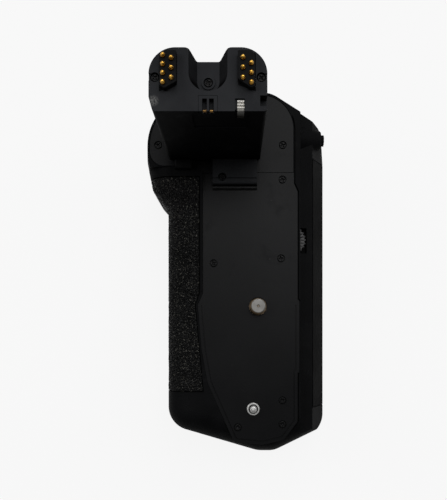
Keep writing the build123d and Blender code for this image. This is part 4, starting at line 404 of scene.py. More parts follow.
class MaterialTree(Nodes):
    """A new material's nodes."""

    def __init__(self, name: str) -> None:
        """Starts the material with a Principled shader and Object coordinates."""
        self.material = bpy.data.materials.new(name)
        self.material.use_nodes = True
        super().__init__(self.material.node_tree)
        coordinates = self.add("TexCoord", {})
        self.place = coordinates.outputs["Object"]
        self.normal = coordinates.outputs["Normal"]

    def group(self, tree: bpy.types.NodeTree, **values: float) -> bpy.types.NodeOutputs:
        """Adds a shared group, fed with Object coordinates.

        Args:
            tree: The node group.
            values: Input values, with spaces written as underscores.

        Returns:
            The group's outputs.
        """
        feeds = {label.replace("_", " "): value for label, value in values.items()}
        return self.add("Group", {"Vector": self.place, **feeds}, node_tree=tree).outputs

    def mix(self, mask: Socket, low: object, high: object) -> Socket:
        """Mixes two colours by a mask.

        Args:
            mask: Value between 0 and 1.
            low: Colour, or a colour's socket, where the mask is 0.
            high: Colour, or a colour's socket, where the mask is 1.

        Returns:
            The mixed colour's socket.
        """
        low, high = [(*c, 1.0) if isinstance(c, tuple) else c for c in (low, high)]
        return self.add("Mix", {0: mask, 6: low, 7: high}, data_type="RGBA").outputs[2]

    def height(self, vector: Socket) -> Socket:
        """The Z of a vector."""
        return self.add("SeparateXYZ", {0: vector}).outputs["Z"]

    def upward(self) -> Socket:
        """Mask that is 0 on faces steeper than 60 degrees and 1 on those under about 21."""
        steep, level = 0.5, 0.93
        return self.mapped(self.height(self.normal), steep, level)

    def below(self, low: float, high: float) -> Socket:
        """Mask that is 1 under the low height and 0 over the high one, in millimetres."""
        return self.mapped(self.height(self.place), low * MM, high * MM, 1.0, 0.0)

    def near(self, place: tuple, reach: float) -> Socket:
        """Mask that is 1 near a place and 0 beyond its reach.

        Args:
            place: The middle, in millimetres.
            reach: Distance in millimetres at which the mask has gone.

        Returns:
            The mask's socket.
        """
        full_share = 0.6
        centre = tuple(v * MM for v in place)
        distance = self.add("VectorMath", {0: self.place, 1: centre}, operation="DISTANCE")
        return self.mapped(distance.outputs["Value"], reach * MM, full_share * reach * MM)

    def bump(self, height: Socket, strength: float, distance: float,
             under: Socket = None) -> Socket:
        """Adds a Bump node.

        Args:
            height: Height socket.
            strength: How strongly it turns the normal.
            distance: Height of 1 in metres.
            under: Normal to stack this one on.

        Returns:
            The turned normal's socket.
        """
        stacked = {} if under is None else {"Normal": under}
        feeds = {"Height": height, "Strength": strength, "Distance": distance, **stacked}
        return self.add("Bump", feeds).outputs["Normal"]

    def finish(self, feeds: dict) -> bpy.types.Material:
        """Feeds the Principled shader and returns the material."""
        self.feed(self.tree.nodes["Principled BSDF"], feeds)
        return self.material


@dataclass(frozen=True)
class MouldedPlastic:
    """Black plastic with a fine spark-eroded grain, light scuffs, lighter spots on the grain's
    peaks, and on upward faces a lighter colour that is painted light with some dust, leaving steep
    faces in painted shade.
    """

    name: str
    dark: tuple = (0.0022, 0.0023, 0.0025)
    light: tuple = (0.004, 0.0041, 0.0044)
    roughness: float = 0.58
    specular: float = 0.025
    grain: float = 1500.0
    relief: float = 0.35
    scuffs: float = 0.35
    light_spots: tuple = ()
    dust_and_top_light: tuple = ()
    scuffed: tuple = (0.014, 0.014, 0.0145)
    speck: tuple = (0.12, 0.117, 0.11)

    def build(self) -> bpy.types.Material:
        """Makes the material.

        Returns:
            The material.
        """
        made = MaterialTree(self.name)
        grain = made.group(GROUPS.fine_grain, Scale=self.grain, Patch_Scale=55.0)
        wear = made.group(GROUPS.wear, Scale=85.0, Amount=self.scuffs)
        colour = made.mix(grain["Patches"], self.dark, self.light)
        # Faces that look upwards get a far lighter colour: painted light with some dust, so that
        # steep faces and walls stay in painted shade.
        if self.dust_and_top_light:
            colour = made.mix(made.upward(), colour, made.mix(grain["Patches"], *self.dust_and_top_light))
        colour = made.mix(wear["Scuffs"], colour, self.scuffed)
        colour = made.mix(wear["Specks"], colour, self.speck)
        # A lighter colour on the grain's peaks near each given place.
        for place, reach, spot_colour in self.light_spots:
            peaks = made.mapped(grain["Height"], 0.35, 0.55)
            patch = made.calculate("MULTIPLY", made.near(place, reach), peaks)
            colour = made.mix(patch, colour, spot_colour)
        rough = (self.roughness - 0.05, self.roughness + 0.06)
        return made.finish({"Base Color": colour,
                            "Roughness": made.mapped(grain["Patches"], 0, 1, *rough),
                            "Specular IOR Level": self.specular,
                            "Normal": made.bump(grain["Height"], self.relief, 0.0002)})


@dataclass(frozen=True)
class PebbledRubber:
    """Black rubber with a leather grain, with painted highlights on its pebble tops and in
    scattered glints, and painted shade in its seams.
    """

    name: str
    dark: tuple = (0.0002, 0.0002, 0.0002)
    light: tuple = (0.0022, 0.0022, 0.0023)
    dusty: tuple = (0.012, 0.012, 0.0125)
    glint: tuple = (0.06, 0.058, 0.05)
    roughness: float = 0.3
    seam_roughness: float = 0.85
    specular: float = 0.07
    scale: float = 1000.0

    def build(self) -> bpy.types.Material:
        """Makes the material.

        Returns:
            The material.
        """
        made = MaterialTree(self.name)
        grain = made.group(GROUPS.fine_grain, Scale=2600.0, Patch_Scale=120.0)
        cells = made.group(GROUPS.pebbles, Scale=self.scale, Seam=0.2)
        # Pebble tops take the lighter colour and seams the darker one: painted highlight on the
        # tops and painted shade in the seams.
        colour = made.mix(cells["Height"], self.dark, self.light)
        colour = made.mix(made.mapped(grain["Patches"], 0, 1, 0.0, 0.15), colour, self.dusty)
        glints = made.group(GROUPS.fine_grain, Scale=1100.0, Patch_Scale=1300.0)
        colour = made.mix(made.mapped(glints["Patches"], 0.82, 1.0), colour, self.glint)
        rough = (self.roughness, self.seam_roughness)
        low = made.bump(grain["Height"], 0.3, 0.0001)
        return made.finish({"Base Color": colour,
                            "Roughness": made.mapped(cells["Seams"], 0, 1, *rough),
                            "Specular IOR Level": self.specular,
                            "Normal": made.bump(cells["Height"], 0.5, 0.00015, low)})


@dataclass(frozen=True)
class PaintedMetal:
    """Metal under satin black paint, with faint orange peel and dust."""

    name: str
    dark: tuple = (0.002, 0.0021, 0.0024)
    light: tuple = (0.0034, 0.0035, 0.0039)
    roughness: float = 0.4
    specular: float = 0.07
    dust_and_top_light: float = 0.5
    speck: tuple = (0.14, 0.135, 0.13)

    def build(self) -> bpy.types.Material:
        """Makes the material.

        Returns:
            The material.
        """
        made = MaterialTree(self.name)
        grain = made.group(GROUPS.fine_grain, Scale=1900.0, Patch_Scale=38.0)
        wear = made.group(GROUPS.wear, Scale=70.0, Amount=self.dust_and_top_light)
        colour = made.mix(grain["Patches"], self.dark, self.light)
        rough = (self.roughness, self.roughness + 0.2)
        return made.finish({"Base Color": made.mix(wear["Specks"], colour, self.speck),
                            "Roughness": made.mapped(wear["Scuffs"], 0, 1, *rough),
                            "Specular IOR Level": self.specular,
                            "Normal": made.bump(grain["Height"], 0.22, 0.00012)})


@dataclass(frozen=True)
class BareMetal:
    """Plated or machined metal with tarnish and fine scratches."""

    name: str
    bright: tuple
    dull: tuple
    roughness: float = 0.25
    brushed: float = 0.15
    metallic: float = 0.65
    fade: tuple = ()

    def build(self) -> bpy.types.Material:
        """Makes the material, fading to its foot colour between two heights if it has a fade.

        Returns:
            The material.
        """
        made = MaterialTree(self.name)
        grain = made.group(GROUPS.fine_grain, Scale=3000.0, Patch_Scale=150.0)
        wear = made.group(GROUPS.wear, Scale=500.0, Amount=0.25)
        colour = made.mix(grain["Patches"], self.dull, self.bright)
        colour = made.mix(wear["Scuffs"], colour, self.dull)
        if self.fade:
            low, high, foot = self.fade
            colour = made.mix(made.below(low, high), colour, foot)
        rough = (self.roughness + 0.12, self.roughness)
        return made.finish({"Base Color": colour,
                            "Roughness": made.mapped(grain["Patches"], 0, 1, *rough),
                            "Metallic": self.metallic,
                            "Normal": made.bump(grain["Height"], self.brushed, 0.00002)})


@dataclass(frozen=True)
class CircuitBoard:
    """Green solder mask over faint copper tracks."""

    name: str
    mask: tuple = (0.008, 0.075, 0.03)
    copper: tuple = (0.02, 0.13, 0.05)

    def build(self) -> bpy.types.Material:
        """Makes the material.

        Returns:
            The material.
        """
        made = MaterialTree(self.name)
        tracks = made.add("TexBrick", {
            "Vector": made.place, "Scale": 300.0, "Mortar Size": 0.03,
            "Color1": (*self.mask, 1), "Color2": (*self.mask, 1), "Mortar": (*self.copper, 1)})
        grain = made.group(GROUPS.fine_grain, Scale=900.0, Patch_Scale=100.0)
        return made.finish({"Base Color": tracks.outputs["Color"],
                            "Roughness": made.mapped(grain["Patches"], 0, 1, 0.25, 0.4),
                            "Normal": made.bump(tracks.outputs["Fac"], 0.3, 0.00005)})


BLACK = ((0.003, 0.003, 0.0032), (0.0055, 0.0055, 0.0058))
# The tower's upward faces: painted light with some dust, far lighter than its base colour.
TOWER_TOP_LIGHT_AND_DUST = ((0.0135, 0.014, 0.0155), (0.02, 0.0207, 0.0224))
# Painted light on the door holder's upward faces, lifting them out of the tower's shadow.
HOLDER_TOP_LIGHT = ((0.011, 0.0115, 0.0125), (0.016, 0.0166, 0.018))
# A lighter spot on the grain's peaks at the head's front-left chamfer.
LIGHT_CORNER_SPOT = ((62.8, 35.4, 56.6), 2.3, (0.09, 0.09, 0.088))

FINISHES = (
    MouldedPlastic("body_plastic"),
    MouldedPlastic("tower_plastic", (0.0009, 0.0009, 0.001), (0.002, 0.002, 0.0022),
                   roughness=0.64, specular=0.02, grain=1900.0, relief=0.3, scuffs=0.6,
                   light_spots=(LIGHT_CORNER_SPOT,), dust_and_top_light=TOWER_TOP_LIGHT_AND_DUST),
    MouldedPlastic("holder_plastic", (0.0035, 0.0035, 0.0037), (0.006, 0.006, 0.0063),
                   dust_and_top_light=HOLDER_TOP_LIGHT),
    MouldedPlastic("block_plastic", *BLACK, roughness=0.5, grain=2200.0, relief=0.15),
    MouldedPlastic("button_plastic", (0.003, 0.003, 0.0032), (0.005, 0.005, 0.0054),
                   roughness=0.34, specular=0.25, grain=2400.0, relief=0.1, scuffs=0.2),
    MouldedPlastic("cover_leather", (0.0012, 0.0012, 0.0013), (0.0024, 0.0024, 0.0026),
                   roughness=0.66, specular=0.02, grain=1000.0, relief=0.9, scuffs=0.3),
    MouldedPlastic("wheel_ribs", (0.01, 0.01, 0.0102), (0.016, 0.016, 0.0165),
                   roughness=0.4, specular=0.25, grain=2400.0, relief=0.1, scuffs=0.4),
    MouldedPlastic("gear_plastic", (0.55, 0.54, 0.5), (0.66, 0.65, 0.6),
                   roughness=0.4, specular=0.4, relief=0.1, scuffs=0.0),
    MouldedPlastic("chips", (0.01, 0.01, 0.01), (0.016, 0.016, 0.017), roughness=0.5),
    MouldedPlastic("flex", (0.3, 0.1, 0.02), (0.36, 0.13, 0.03), roughness=0.3, scuffs=0.0),
    PebbledRubber("grip_rubber"),
    MouldedPlastic("soft_black", (0.002, 0.002, 0.002), (0.0035, 0.0035, 0.0035),
                   roughness=0.8, grain=1200.0, relief=0.6),
    PaintedMetal("plate_paint"),
    PaintedMetal("dark_screw", *BLACK, roughness=0.35),
    BareMetal("gilt", (0.85, 0.52, 0.11), (0.6, 0.33, 0.05), 0.2),
    # Dark brown below 61.3 mm, blending to gilt by 62.3 mm: painted shade on the lower part of each
    # pin.
    BareMetal("pin_gilt", (0.88, 0.52, 0.1), (0.66, 0.36, 0.05), 0.18, metallic=0.9,
              fade=(61.3, 62.3, (0.13, 0.055, 0.007))),
    BareMetal("aged_gilt", (0.26, 0.14, 0.03), (0.1, 0.05, 0.015), 0.35),
    BareMetal("nickel", (0.5, 0.47, 0.42), (0.36, 0.33, 0.28), 0.22),
    BareMetal("steel", (0.5, 0.5, 0.51), (0.36, 0.36, 0.36), 0.22),
    # Near black below 52 mm, blending to silver by 56.9 mm: painted shade on the leaf where it runs
    # down the head's front face.
    BareMetal("leaf_silver", (0.52, 0.51, 0.48), (0.36, 0.35, 0.32), 0.3, metallic=0.5,
              fade=(52.0, 56.9, (0.04, 0.036, 0.03))),
    BareMetal("screw_nickel", (0.17, 0.166, 0.158), (0.13, 0.126, 0.118), 0.42, 0.03, 0.5,
              fade=(4.1, 4.55, (0.12, 0.082, 0.044))),
    # Black below -0.5 mm, blending in by 0.36 mm: painted shade in the groove round the pin's foot.
    BareMetal("pin_steel", (0.42, 0.42, 0.41), (0.34, 0.34, 0.33), 0.36, 0.02, 0.5,
              fade=(-0.5, 0.36, (0.004, 0.004, 0.004))),
    BareMetal("gear_brass", (0.72, 0.52, 0.22), (0.5, 0.34, 0.13), 0.3),
    CircuitBoard("board"),
)

OWN_FINISHES = {
    "magazine_cover": "cover_leather", "contact_socket": "tower_plastic",
    "thumbwheel": "wheel_ribs", "door_holder": "holder_plastic", "tower_stop": "block_plastic",
}


class Finishes:
    """Every finish of the grip, each made once."""

    def __init__(self) -> None:
        """Builds the materials."""
        self.made = {finish.name: finish.build() for finish in FINISHES}

    def dress(self, piece: bpy.types.Object, name: str) -> None:
        """Gives every material slot of a piece one finish.

        Args:
            piece: The object to dress.
            name: The finish's name.
        """
        if not piece.material_slots:
            piece.data.materials.append(self.made[name])
        for slot in piece.material_slots:
            slot.material = self.made[name]

    def dress_nodes(self, frame: dict) -> None:
        """Gives every CAD node its own finish, or the one that its record slot names.

        Args:
            frame: The loaded frame.
        """
        for entry in frame["record"]["subparts"]:
            name = entry["node"]
            self.dress(frame["nodes"][name], OWN_FINISHES.get(name, entry["material_slot"]))


@dataclass(frozen=True)
class Piece:
    """A new mesh with its finish, the body it rides on and the CAD node it replaces."""

    name: str
    mesh: tuple
    finish: str = ""
    body: str = "grip"
    node: str = ""
    slot: str = ""
    shade: Shade = Shade.SMOOTH

    def add(self) -> bpy.types.Object:
        """Puts the points, in millimetres, and the faces into a new object at the origin.

        Returns:
            The new object.
        """
        points, faces = self.mesh
        mesh = bpy.data.meshes.new(self.name)
        corners = [tuple(int(i) for i in f) for f in faces]
        mesh.from_pydata((np.asarray(points) * MM).tolist(), [], corners)
        mesh.validate()
        smooth = [self.shade is Shade.SMOOTH] * len(mesh.polygons)
        mesh.polygons.foreach_set("use_smooth", smooth)
        piece = bpy.data.objects.new(self.name, mesh)
        bpy.context.scene.collection.objects.link(piece)
        return piece

    def build(self, finishes: Finishes) -> bpy.types.Object:
        """Makes and dresses the piece, and puts it on its body.

        Args:
            finishes: The grip's finishes.

        Returns:
            The new object.
        """
        piece = self.add()
        finishes.dress(piece, self.finish)
        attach(piece, self.body)
        if self.node:
            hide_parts(self.node)
        return piece


# Sub-assemblies

@dataclass
class HandGrip:
    """Rubber skin on the grip's front, with rolled edges and a pebbled relief."""

    front_corners: tuple = ((-60.0, 37.2), (41.0, 37.2), (48.3, 43.6), (61.0, 46.2), (80.0, 46.2))
    front_radii: tuple = (0, 6.0, 6.0, 15.0, 0)
    inner_corners: tuple = ((-34.8, 22.15), (0.6, 25.4), (5.2, 23.82), (52.85, 23.82))
    shoulder: float = 9.486
    bottom: float = -42.85
    arc_steps: int = 24
    proud: float = 0.1
    tuck: float = 0.7
    columns: int = 410
    top_rows: int = 150
    wall_rows: int = 90
    bunching: float = 1.2
    path_points: int = 1500
    chunks: int = 60
    cell: float = 1.05
    jitter: float = 0.45
    lowest: float = 0.45
    dome_reach: float = 0.75
    dome_foot: float = 0.35
    seam: float = 0.35
    relief: float = 0.38
    roll: float = 1.0

    def skin(self) -> np.ndarray:
        """The skin's outer surface over a grid of X stations and rows from the inner edge down.

        On top, y runs from the inner edge to the front outline, closer together near the front.
        With d the distance to the outline and R the shoulder's radius, the height is
        sqrt(R^2 - (R - d)^2) - R where d is under R, and 0 elsewhere. The wall then goes
        straight down.

        Returns:
            Points as (rows, columns, 3).
        """
        path = rounded_path(self.front_corners, self.front_radii, self.arc_steps)
        inner = np.asarray(self.inner_corners, float)
        x = np.linspace(inner[0, 0], inner[-1, 0], self.columns)
        front = np.interp(x, path[:, 0], path[:, 1])
        start = np.interp(x, inner[:, 0], inner[:, 1])
        share = np.sin(np.linspace(0, math.pi / 2, self.top_rows))[:, None] ** self.bunching
        y = start[None] + (front - start)[None] * share
        fine = resampled(path, self.path_points)
        flat = np.stack([np.broadcast_to(x, y.shape).ravel(), y.ravel()], axis=-1)
        distance = np.concatenate([
            np.sqrt(((chunk[:, None] - fine[None]) ** 2).sum(-1).min(1))
            for chunk in np.array_split(flat, self.chunks)]).reshape(y.shape)
        inside = np.clip(self.shoulder - distance, 0, self.shoulder)
        height = np.sqrt(np.clip(self.shoulder ** 2 - inside ** 2, 0, None)) - self.shoulder
        height[-1] = -self.shoulder
        drop = np.linspace(0, 1, self.wall_rows + 1)[1:, None]
        wall_z = -self.shoulder + (self.bottom + self.shoulder) * drop + 0 * x[None]
        depth = np.concatenate([y, np.broadcast_to(front, wall_z.shape)])
        rise = np.concatenate([height, wall_z])
        return np.dstack([np.broadcast_to(x, depth.shape), depth, rise])

    def pebble_height(self, along: np.ndarray, down: np.ndarray) -> np.ndarray:
        """Leather relief from jittered cells.

        The height is a dome over the distance to the nearest cell centre, times a rounded step
        of how much further the second nearest is, so it is highest inside a pebble and 0 in
        the seams.

        Args:
            along: Distance along the skin in millimetres.
            down: Distance over the skin in millimetres.

        Returns:
            Height from 0 to 1 at each point.
        """
        u, v = along / self.cell, down / self.cell
        distances, levels = [], []
        for step_u in (-1, 0, 1):
            for step_v in (-1, 0, 1):
                cell_u, cell_v = np.floor(u) + step_u, np.floor(v) + step_v
                shake = scattered(cell_u, cell_v, 127.1, 311.7)
                other = scattered(cell_u, cell_v, 269.5, 183.3)
                place_u = cell_u + 0.5 + self.jitter * (2 * shake - 1)
                place_v = cell_v + 0.5 + self.jitter * (2 * other - 1)
                distances.append(np.hypot(u - place_u, v - place_v))
                levels.append(self.lowest + (1 - self.lowest) * shake)
        distances, levels = np.stack(distances), np.stack(levels)
        order = np.argsort(distances, axis=0)
        nearest = np.take_along_axis(distances, order[:2], axis=0)
        level = np.take_along_axis(levels, order[:1], axis=0)[0]
        dome = np.sqrt(np.clip(1 - (nearest[0] / self.dome_reach) ** 2, 0, 1))
        dome = self.dome_foot + (1 - self.dome_foot) * dome
        return smooth_step((nearest[1] - nearest[0]) / self.seam) * dome * level

    def pieces(self) -> list:
        """The skin, lifted along its normals.

        At its rim the lift goes by a quarter circle from a tuck below the surface to its height
        above it, and the relief fades out.

        Returns:
            The new piece.
        """
        points = self.skin()
        d_along, d_down = np.gradient(points, axis=1), np.gradient(points, axis=0)
        normal = np.cross(d_along, d_down)
        normal /= np.linalg.norm(normal, axis=2, keepdims=True) + 1e-9
        along = np.cumsum(np.linalg.norm(d_along, axis=2), axis=1)
        down = np.cumsum(np.linalg.norm(d_down, axis=2), axis=0)
        edge = np.minimum.reduce([along - along[:, :1], along[:, -1:] - along,
                                  down - down[:1], down[-1:] - down])
        edge = np.clip(edge / self.roll, 0, 1)
        roll = np.sqrt(np.clip(1 - (1 - edge) ** 2, 0, 1))
        relief = (self.pebble_height(along, down) - 1) * self.relief * edge
        lift = (self.proud + self.tuck) * roll - self.tuck + relief
        points = points + normal * lift[..., None]
        mesh = points.reshape(-1, 3), grid_faces(*points.shape[:2])
        return [Piece("grip_skin", mesh, "grip_rubber", "grip", "front_grip", "grip_rubber")]


@dataclass(frozen=True)
class ScrewPlace:
    """Where one cross-head screw sits."""

    x: float
    y: float
    z: float
    length: float = 4.0
    radius: float = 1.36
    turn: float = 0.3


@dataclass
class ScrewSet:
    """Cross-head screws of one CAD node, each a dished head on a plain shank."""

    name: str
    places: tuple
    down: bool = False
    thick: float = 0.8
    middle: float = 0.04
    shank: float = 0.9
    sink: float = 0.2
    edge: float = 0.28
    arm: float = 0.62
    half_arm: float = 0.22
    wall: float = 0.09
    depth: float = 0.62
    rise: float = 0.3
    steps: int = 72
    top_rows: int = 22

    def within(self, value: np.ndarray, limit: float) -> np.ndarray:
        """Mask that is 1 where a distance is under the limit, with a soft wall beyond it."""
        return smooth_step((limit + self.wall - np.abs(value)) / self.wall)

    def screw(self, place: ScrewPlace) -> tuple:
        """One screw over a polar grid.

        The top falls by a quarter circle at its edge. The cross is sunk where a point lies
        within half an arm's width of either arm and inside the arm's length, with soft walls
        and a floor that deepens towards the middle.

        Args:
            place: Where the screw sits.

        Returns:
            Points and faces.
        """
        radius = place.radius
        turn = np.linspace(0, FULL_TURN, self.steps, endpoint=False)[None]
        r = np.linspace(self.middle, radius, self.top_rows)[:, None]
        edge = np.clip((r - (radius - self.edge)) / self.edge, 0, 1)
        x, y = r * np.cos(turn - place.turn), r * np.sin(turn - place.turn)
        first = self.within(y, self.half_arm) * self.within(x, radius * self.arm)
        second = self.within(x, self.half_arm) * self.within(y, radius * self.arm)
        cross = np.maximum(first, second) * (self.depth - self.rise * r / radius)
        z = -self.edge * (1 - np.sqrt(np.clip(1 - edge ** 2, 0, 1))) - cross
        head = np.stack([r * np.cos(turn), r * np.sin(turn), z], axis=-1)
        low = turned_points(np.array([(radius, -self.thick), (self.shank, -self.thick - 0.02),
                                      (self.shank, -place.length)]), self.steps)
        points, faces = closed_rings(np.concatenate([head, low]), z[0].min(), -place.length)
        side = -1 if self.down else 1
        points = points * np.array([1, side, side])
        return moved(points, (place.x, place.y, place.z - side * self.sink)), faces

    def pieces(self) -> list:
        """All screws of the set as one piece."""
        mesh = merged([self.screw(place) for place in self.places])
        return [Piece(self.name + "_cross", mesh, "dark_screw", "grip", self.name, "dark_screw")]


def screw_sets() -> list:
    """The screws of the plate, the end cover, the tower's head and the base, each at its own turn.

    Returns:
        One set for each CAD node.
    """
    plate = [(51.54, -9.97), (-38.27, -9.97), (-48.0, -9.97), (-49.22, 8.2), (19.5, -9.4),
             (17.5, 18.0)]
    plate = [ScrewPlace(x, y, 0, turn=0.3 + 0.37 * i) for i, (x, y) in enumerate(plate)]
    plate.append(ScrewPlace(52.3, 14.5, 0.9, 2.6, turn=0.1))
    cover = (ScrewPlace(65.59, -10.1, 0, turn=0.5), ScrewPlace(65.59, 40.5, 0, turn=0.9))
    head = (ScrewPlace(70.3, 1.05, 57.5, 4.5, 1.27, 0.7),
            ScrewPlace(70.3, 34.95, 57.5, 4.5, 1.27, 0.8),
            ScrewPlace(69.5, 18.0, 55.3, 4.5, 1.27, 0.5))
    base = [(-45.18, -16.38), (-45.18, 26.83), (64.49, -19.36), (55.6, 38.0)]
    base = [ScrewPlace(x, y, -47.1, 3.4, turn=0.3 + 0.4 * i) for i, (x, y) in enumerate(base)]
    return [ScrewSet("plate_screws", tuple(plate)), ScrewSet("cover_screws", cover),
            ScrewSet("tower_screws", head), ScrewSet("base_screws", tuple(base), down=True)]


@dataclass
class SprungPins:
    """Gilt sprung pins of one carrier: a narrow domed tip over a wider barrel."""

    name: str
    body: str
    places: tuple
    top: float = 62.5
    length: float = 11.2
    barrel: float = 0.78
    stem: float = 0.64
    tip: float = 0.56
    dome: float = 0.58
    steps: int = 36

    def profile(self) -> np.ndarray:
        """The pin's outline from the tip's middle: a quarter ellipse, a neck and the barrel.

        Returns:
            Radius and height of each point.
        """
        turn = np.linspace(0, math.pi / 2, 9)
        dome = np.stack([self.tip * np.sin(turn), self.dome * (np.cos(turn) - 1)], axis=-1)
        lower = [(self.tip, -0.85), (self.barrel - 0.1, -0.94), (self.barrel, -1.06),
                 (self.barrel, -4.4), (self.stem, -4.5), (self.stem, -self.length),
                 (0, -self.length)]
        return np.vstack([dome, lower])

    def pieces(self) -> list:
        """All pins of the carrier as one piece."""
        pin, faces = closed_turning(self.profile(), self.steps)
        mesh = merged([(moved(pin, (x, y, self.top)), faces) for x, y in self.places])
        return [Piece(self.name + "_turned", mesh, "pin_gilt", self.body, self.name, "gilt")]


@dataclass
class PinCarrier:
    """Raised carrier of sprung pins: a foot in the roof's seat under a round-cornered block."""

    name: str
    foot: tuple
    foot_radii: tuple
    block: tuple
    block_radii: tuple
    places: tuple
    low: float = 52.4
    roof: float = 57.76
    top: float = 60.8
    bore: float = 0.84
    steps: int = 28
    arc_steps: tuple = (8, 12)
    bevels: tuple = (0.05, 0.1)

    def level(self, outline: np.ndarray, low: float, top: float, edge: float) -> tuple:
        """One level with a bore for each pin and a bevel round its top.

        Outline and bores are loops that run anticlockwise. Their walls are quads and the faces
        between the loops are filled with triangles. The bevel's inner loop lies the edge's
        width inside, along (ty, -tx) of each point's tangent t.

        Args:
            outline: Outline points, anticlockwise.
            low: Height of the underside.
            top: Height of the top.
            edge: Width of the bevel.

        Returns:
            Points and faces.
        """
        tangent = np.roll(outline, -1, axis=0) - np.roll(outline, 1, axis=0)
        outwards = np.stack([tangent[:, 1], -tangent[:, 0]], axis=-1)
        outwards /= np.linalg.norm(tangent, axis=1, keepdims=True)
        bores = [circle(self.bore, self.steps) + np.array(place) for place in self.places]
        loops = [outline - edge * outwards] + bores
        flat = np.concatenate(loops)
        size, wide = len(flat), len(outline)
        points = np.concatenate([
            np.column_stack([flat, np.full(size, top)]),
            np.column_stack([np.concatenate([outline] + bores), np.full(size, low)]),
            np.column_stack([outline, np.full(wide, top - edge)])])
        fill = tessellate_polygon([[Vector((*point, 0)) for point in loop] for loop in loops])
        fill = np.array(fill)
        ahead, across = flat[fill[:, 1]] - flat[fill[:, 0]], flat[fill[:, 2]] - flat[fill[:, 0]]
        clockwise = ahead[:, 0] * across[:, 1] < ahead[:, 1] * across[:, 0]
        fill[clockwise] = fill[clockwise, ::-1]
        here = np.arange(size)
        after = here + 1
        ends = np.cumsum([len(loop) for loop in loops])
        after[ends - 1] = ends - [len(loop) for loop in loops]
        rim, rim_after, bore, bore_after = here[:wide], after[:wide], here[wide:], after[wide:]
        walls = [(bore, bore_after, size + bore_after, size + bore),
                 (size + rim, size + rim_after, 2 * size + rim_after, 2 * size + rim),
                 (2 * size + rim, 2 * size + rim_after, rim_after, rim)]
        quads = np.concatenate([np.stack(wall, axis=-1) for wall in walls])
        return points, [*fill, *(size + fill[:, ::-1]), *quads]

    def pieces(self) -> list:
        """Both levels as one piece, the block sunk into the foot by the foot's bevel."""
        foot = rounded_path(self.foot, self.foot_radii, self.arc_steps[0])[:-1]
        block = rounded_path(self.block, self.block_radii, self.arc_steps[1])[:-1]
        mesh = merged([self.level(foot, self.low, self.roof, self.bevels[0]),
                       self.level(block, self.roof - self.bevels[0], self.top, self.bevels[1])])
        return [Piece(self.name + "_carrier", mesh, "block_plastic", "grip", self.name,
                      "block_plastic", Shade.FLAT)]


def pin_sets() -> list:
    """Seven pins in the left carrier and six in the right.

    Returns:
        Both carriers and their sets of pins.
    """
    left = [(67.5 + 2.8 * i, 32.0) for i in range(4)] + [(68.9 + 3.05 * i, 29.4) for i in range(3)]
    right = [(67.4 + 3.0 * i, 4.3) for i in range(3)] + [(68.9 + 3.15 * i, 6.9) for i in range(3)]
    left_carrier = PinCarrier(
        "left_pin_block",
        ((72, 27.8), (77.9, 27.8), (77.9, 33.2), (65.9, 33.2), (67.9, 27.8), (72, 27.8)),
        (0, 0.1, 2.0, 0.1, 0.1, 0),
        ((72, 27.8), (77.7, 27.8), (77.7, 33.2), (66.7, 33.2), (65.7, 31.6), (67.9, 27.8),
         (72, 27.8)),
        (0, 0.5, 2.2, 0.6, 0.9, 0.5, 0), left)
    right_carrier = PinCarrier(
        "right_pin_block",
        ((72, 3.1), (77.9, 3.1), (77.9, 8.5), (67.9, 8.5), (65.9, 3.1), (72, 3.1)),
        (0, 2.0, 0.1, 0.1, 0.1, 0),
        ((72, 3.1), (77.7, 3.1), (77.7, 8.5), (68.7, 8.5), (65.9, 4.4), (66.4, 3.1),
         (72, 3.1)),
        (0, 2.2, 0.5, 0.5, 0.8, 0.4, 0), right)
    return [left_carrier, right_carrier, SprungPins("left_contact_pins", "left_pins", left),
            SprungPins("right_contact_pins", "right_pins", right)]


@dataclass
class HeadContacts:
    """The silver leaf over the head's edge and the two gilt springs in the socket."""

    leaf_y: tuple = (6.45, 8.65)
    leaf_x: tuple = (59.8, 63.2)
    leaf_z: float = 57.25
    leaf_low: float = 50.1
    leaf_thick: float = 0.22
    fold: float = 0.35
    waves: int = 3
    wave: float = 0.52
    slots: tuple = (16.9, 19.1)
    spring_line: tuple = ((60.7, 55.0), (60.4, 55.05), (60.1, 55.3), (60.02, 55.8), (60.0, 56.2))
    spring_thick: float = 0.16
    spring_half: float = 0.22
    roll_half: float = 0.5
    tip_x: float = 59.95
    tip_z: float = 56.5
    tip: float = 0.38

    def leaf_line(self) -> np.ndarray:
        """Section of the leaf.

        On the roof it is half sine waves, each to the power 0.7 and 0.15 lower. A quarter
        circle folds it over the edge, and then it goes straight down.

        Returns:
            Points as (x, z).
        """
        share = np.linspace(0, 1, 65)
        edge, inner = self.leaf_x
        x = inner + (edge + self.fold - inner) * share
        wave = np.abs(np.sin(math.pi * self.waves * share)) ** 0.7 - 0.15
        roof = np.stack([x, self.leaf_z + self.wave * wave], axis=-1)
        turn = np.linspace(0, math.pi / 2, 9)[1:]
        fold = np.stack([edge + self.fold - self.fold * np.sin(turn),
                         self.leaf_z - self.fold + self.fold * np.cos(turn)], axis=-1)
        down = [(edge, z) for z in np.linspace(self.leaf_z - 0.6, self.leaf_low, 6)]
        return np.vstack([roof, fold, down])

    def springs(self) -> tuple:
        """Two thin tongues, each with a rolled round tip at the socket's mouth.

        Returns:
            Points and faces.
        """
        tongue = thick_line(np.array(self.spring_line), -self.spring_thick)
        roll = circle(self.tip, 20) + np.array([self.tip_x, self.tip_z])
        parts = []
        for y in self.slots:
            parts += [strip(tongue, y - self.spring_half, y + self.spring_half),
                      strip(roll, y - self.roll_half, y + self.roll_half)]
        return merged(parts)

    def pieces(self) -> list:
        """Both contacts."""
        leaf = strip(thick_line(self.leaf_line(), -self.leaf_thick), *self.leaf_y)
        return [Piece("leaf_waves", leaf, "leaf_silver", "grip", "leaf_contact", "nickel",
                      Shade.FLAT),
                Piece("socket_springs", self.springs(), "aged_gilt", "grip", "socket_contacts",
                      "gilt", Shade.FLAT)]


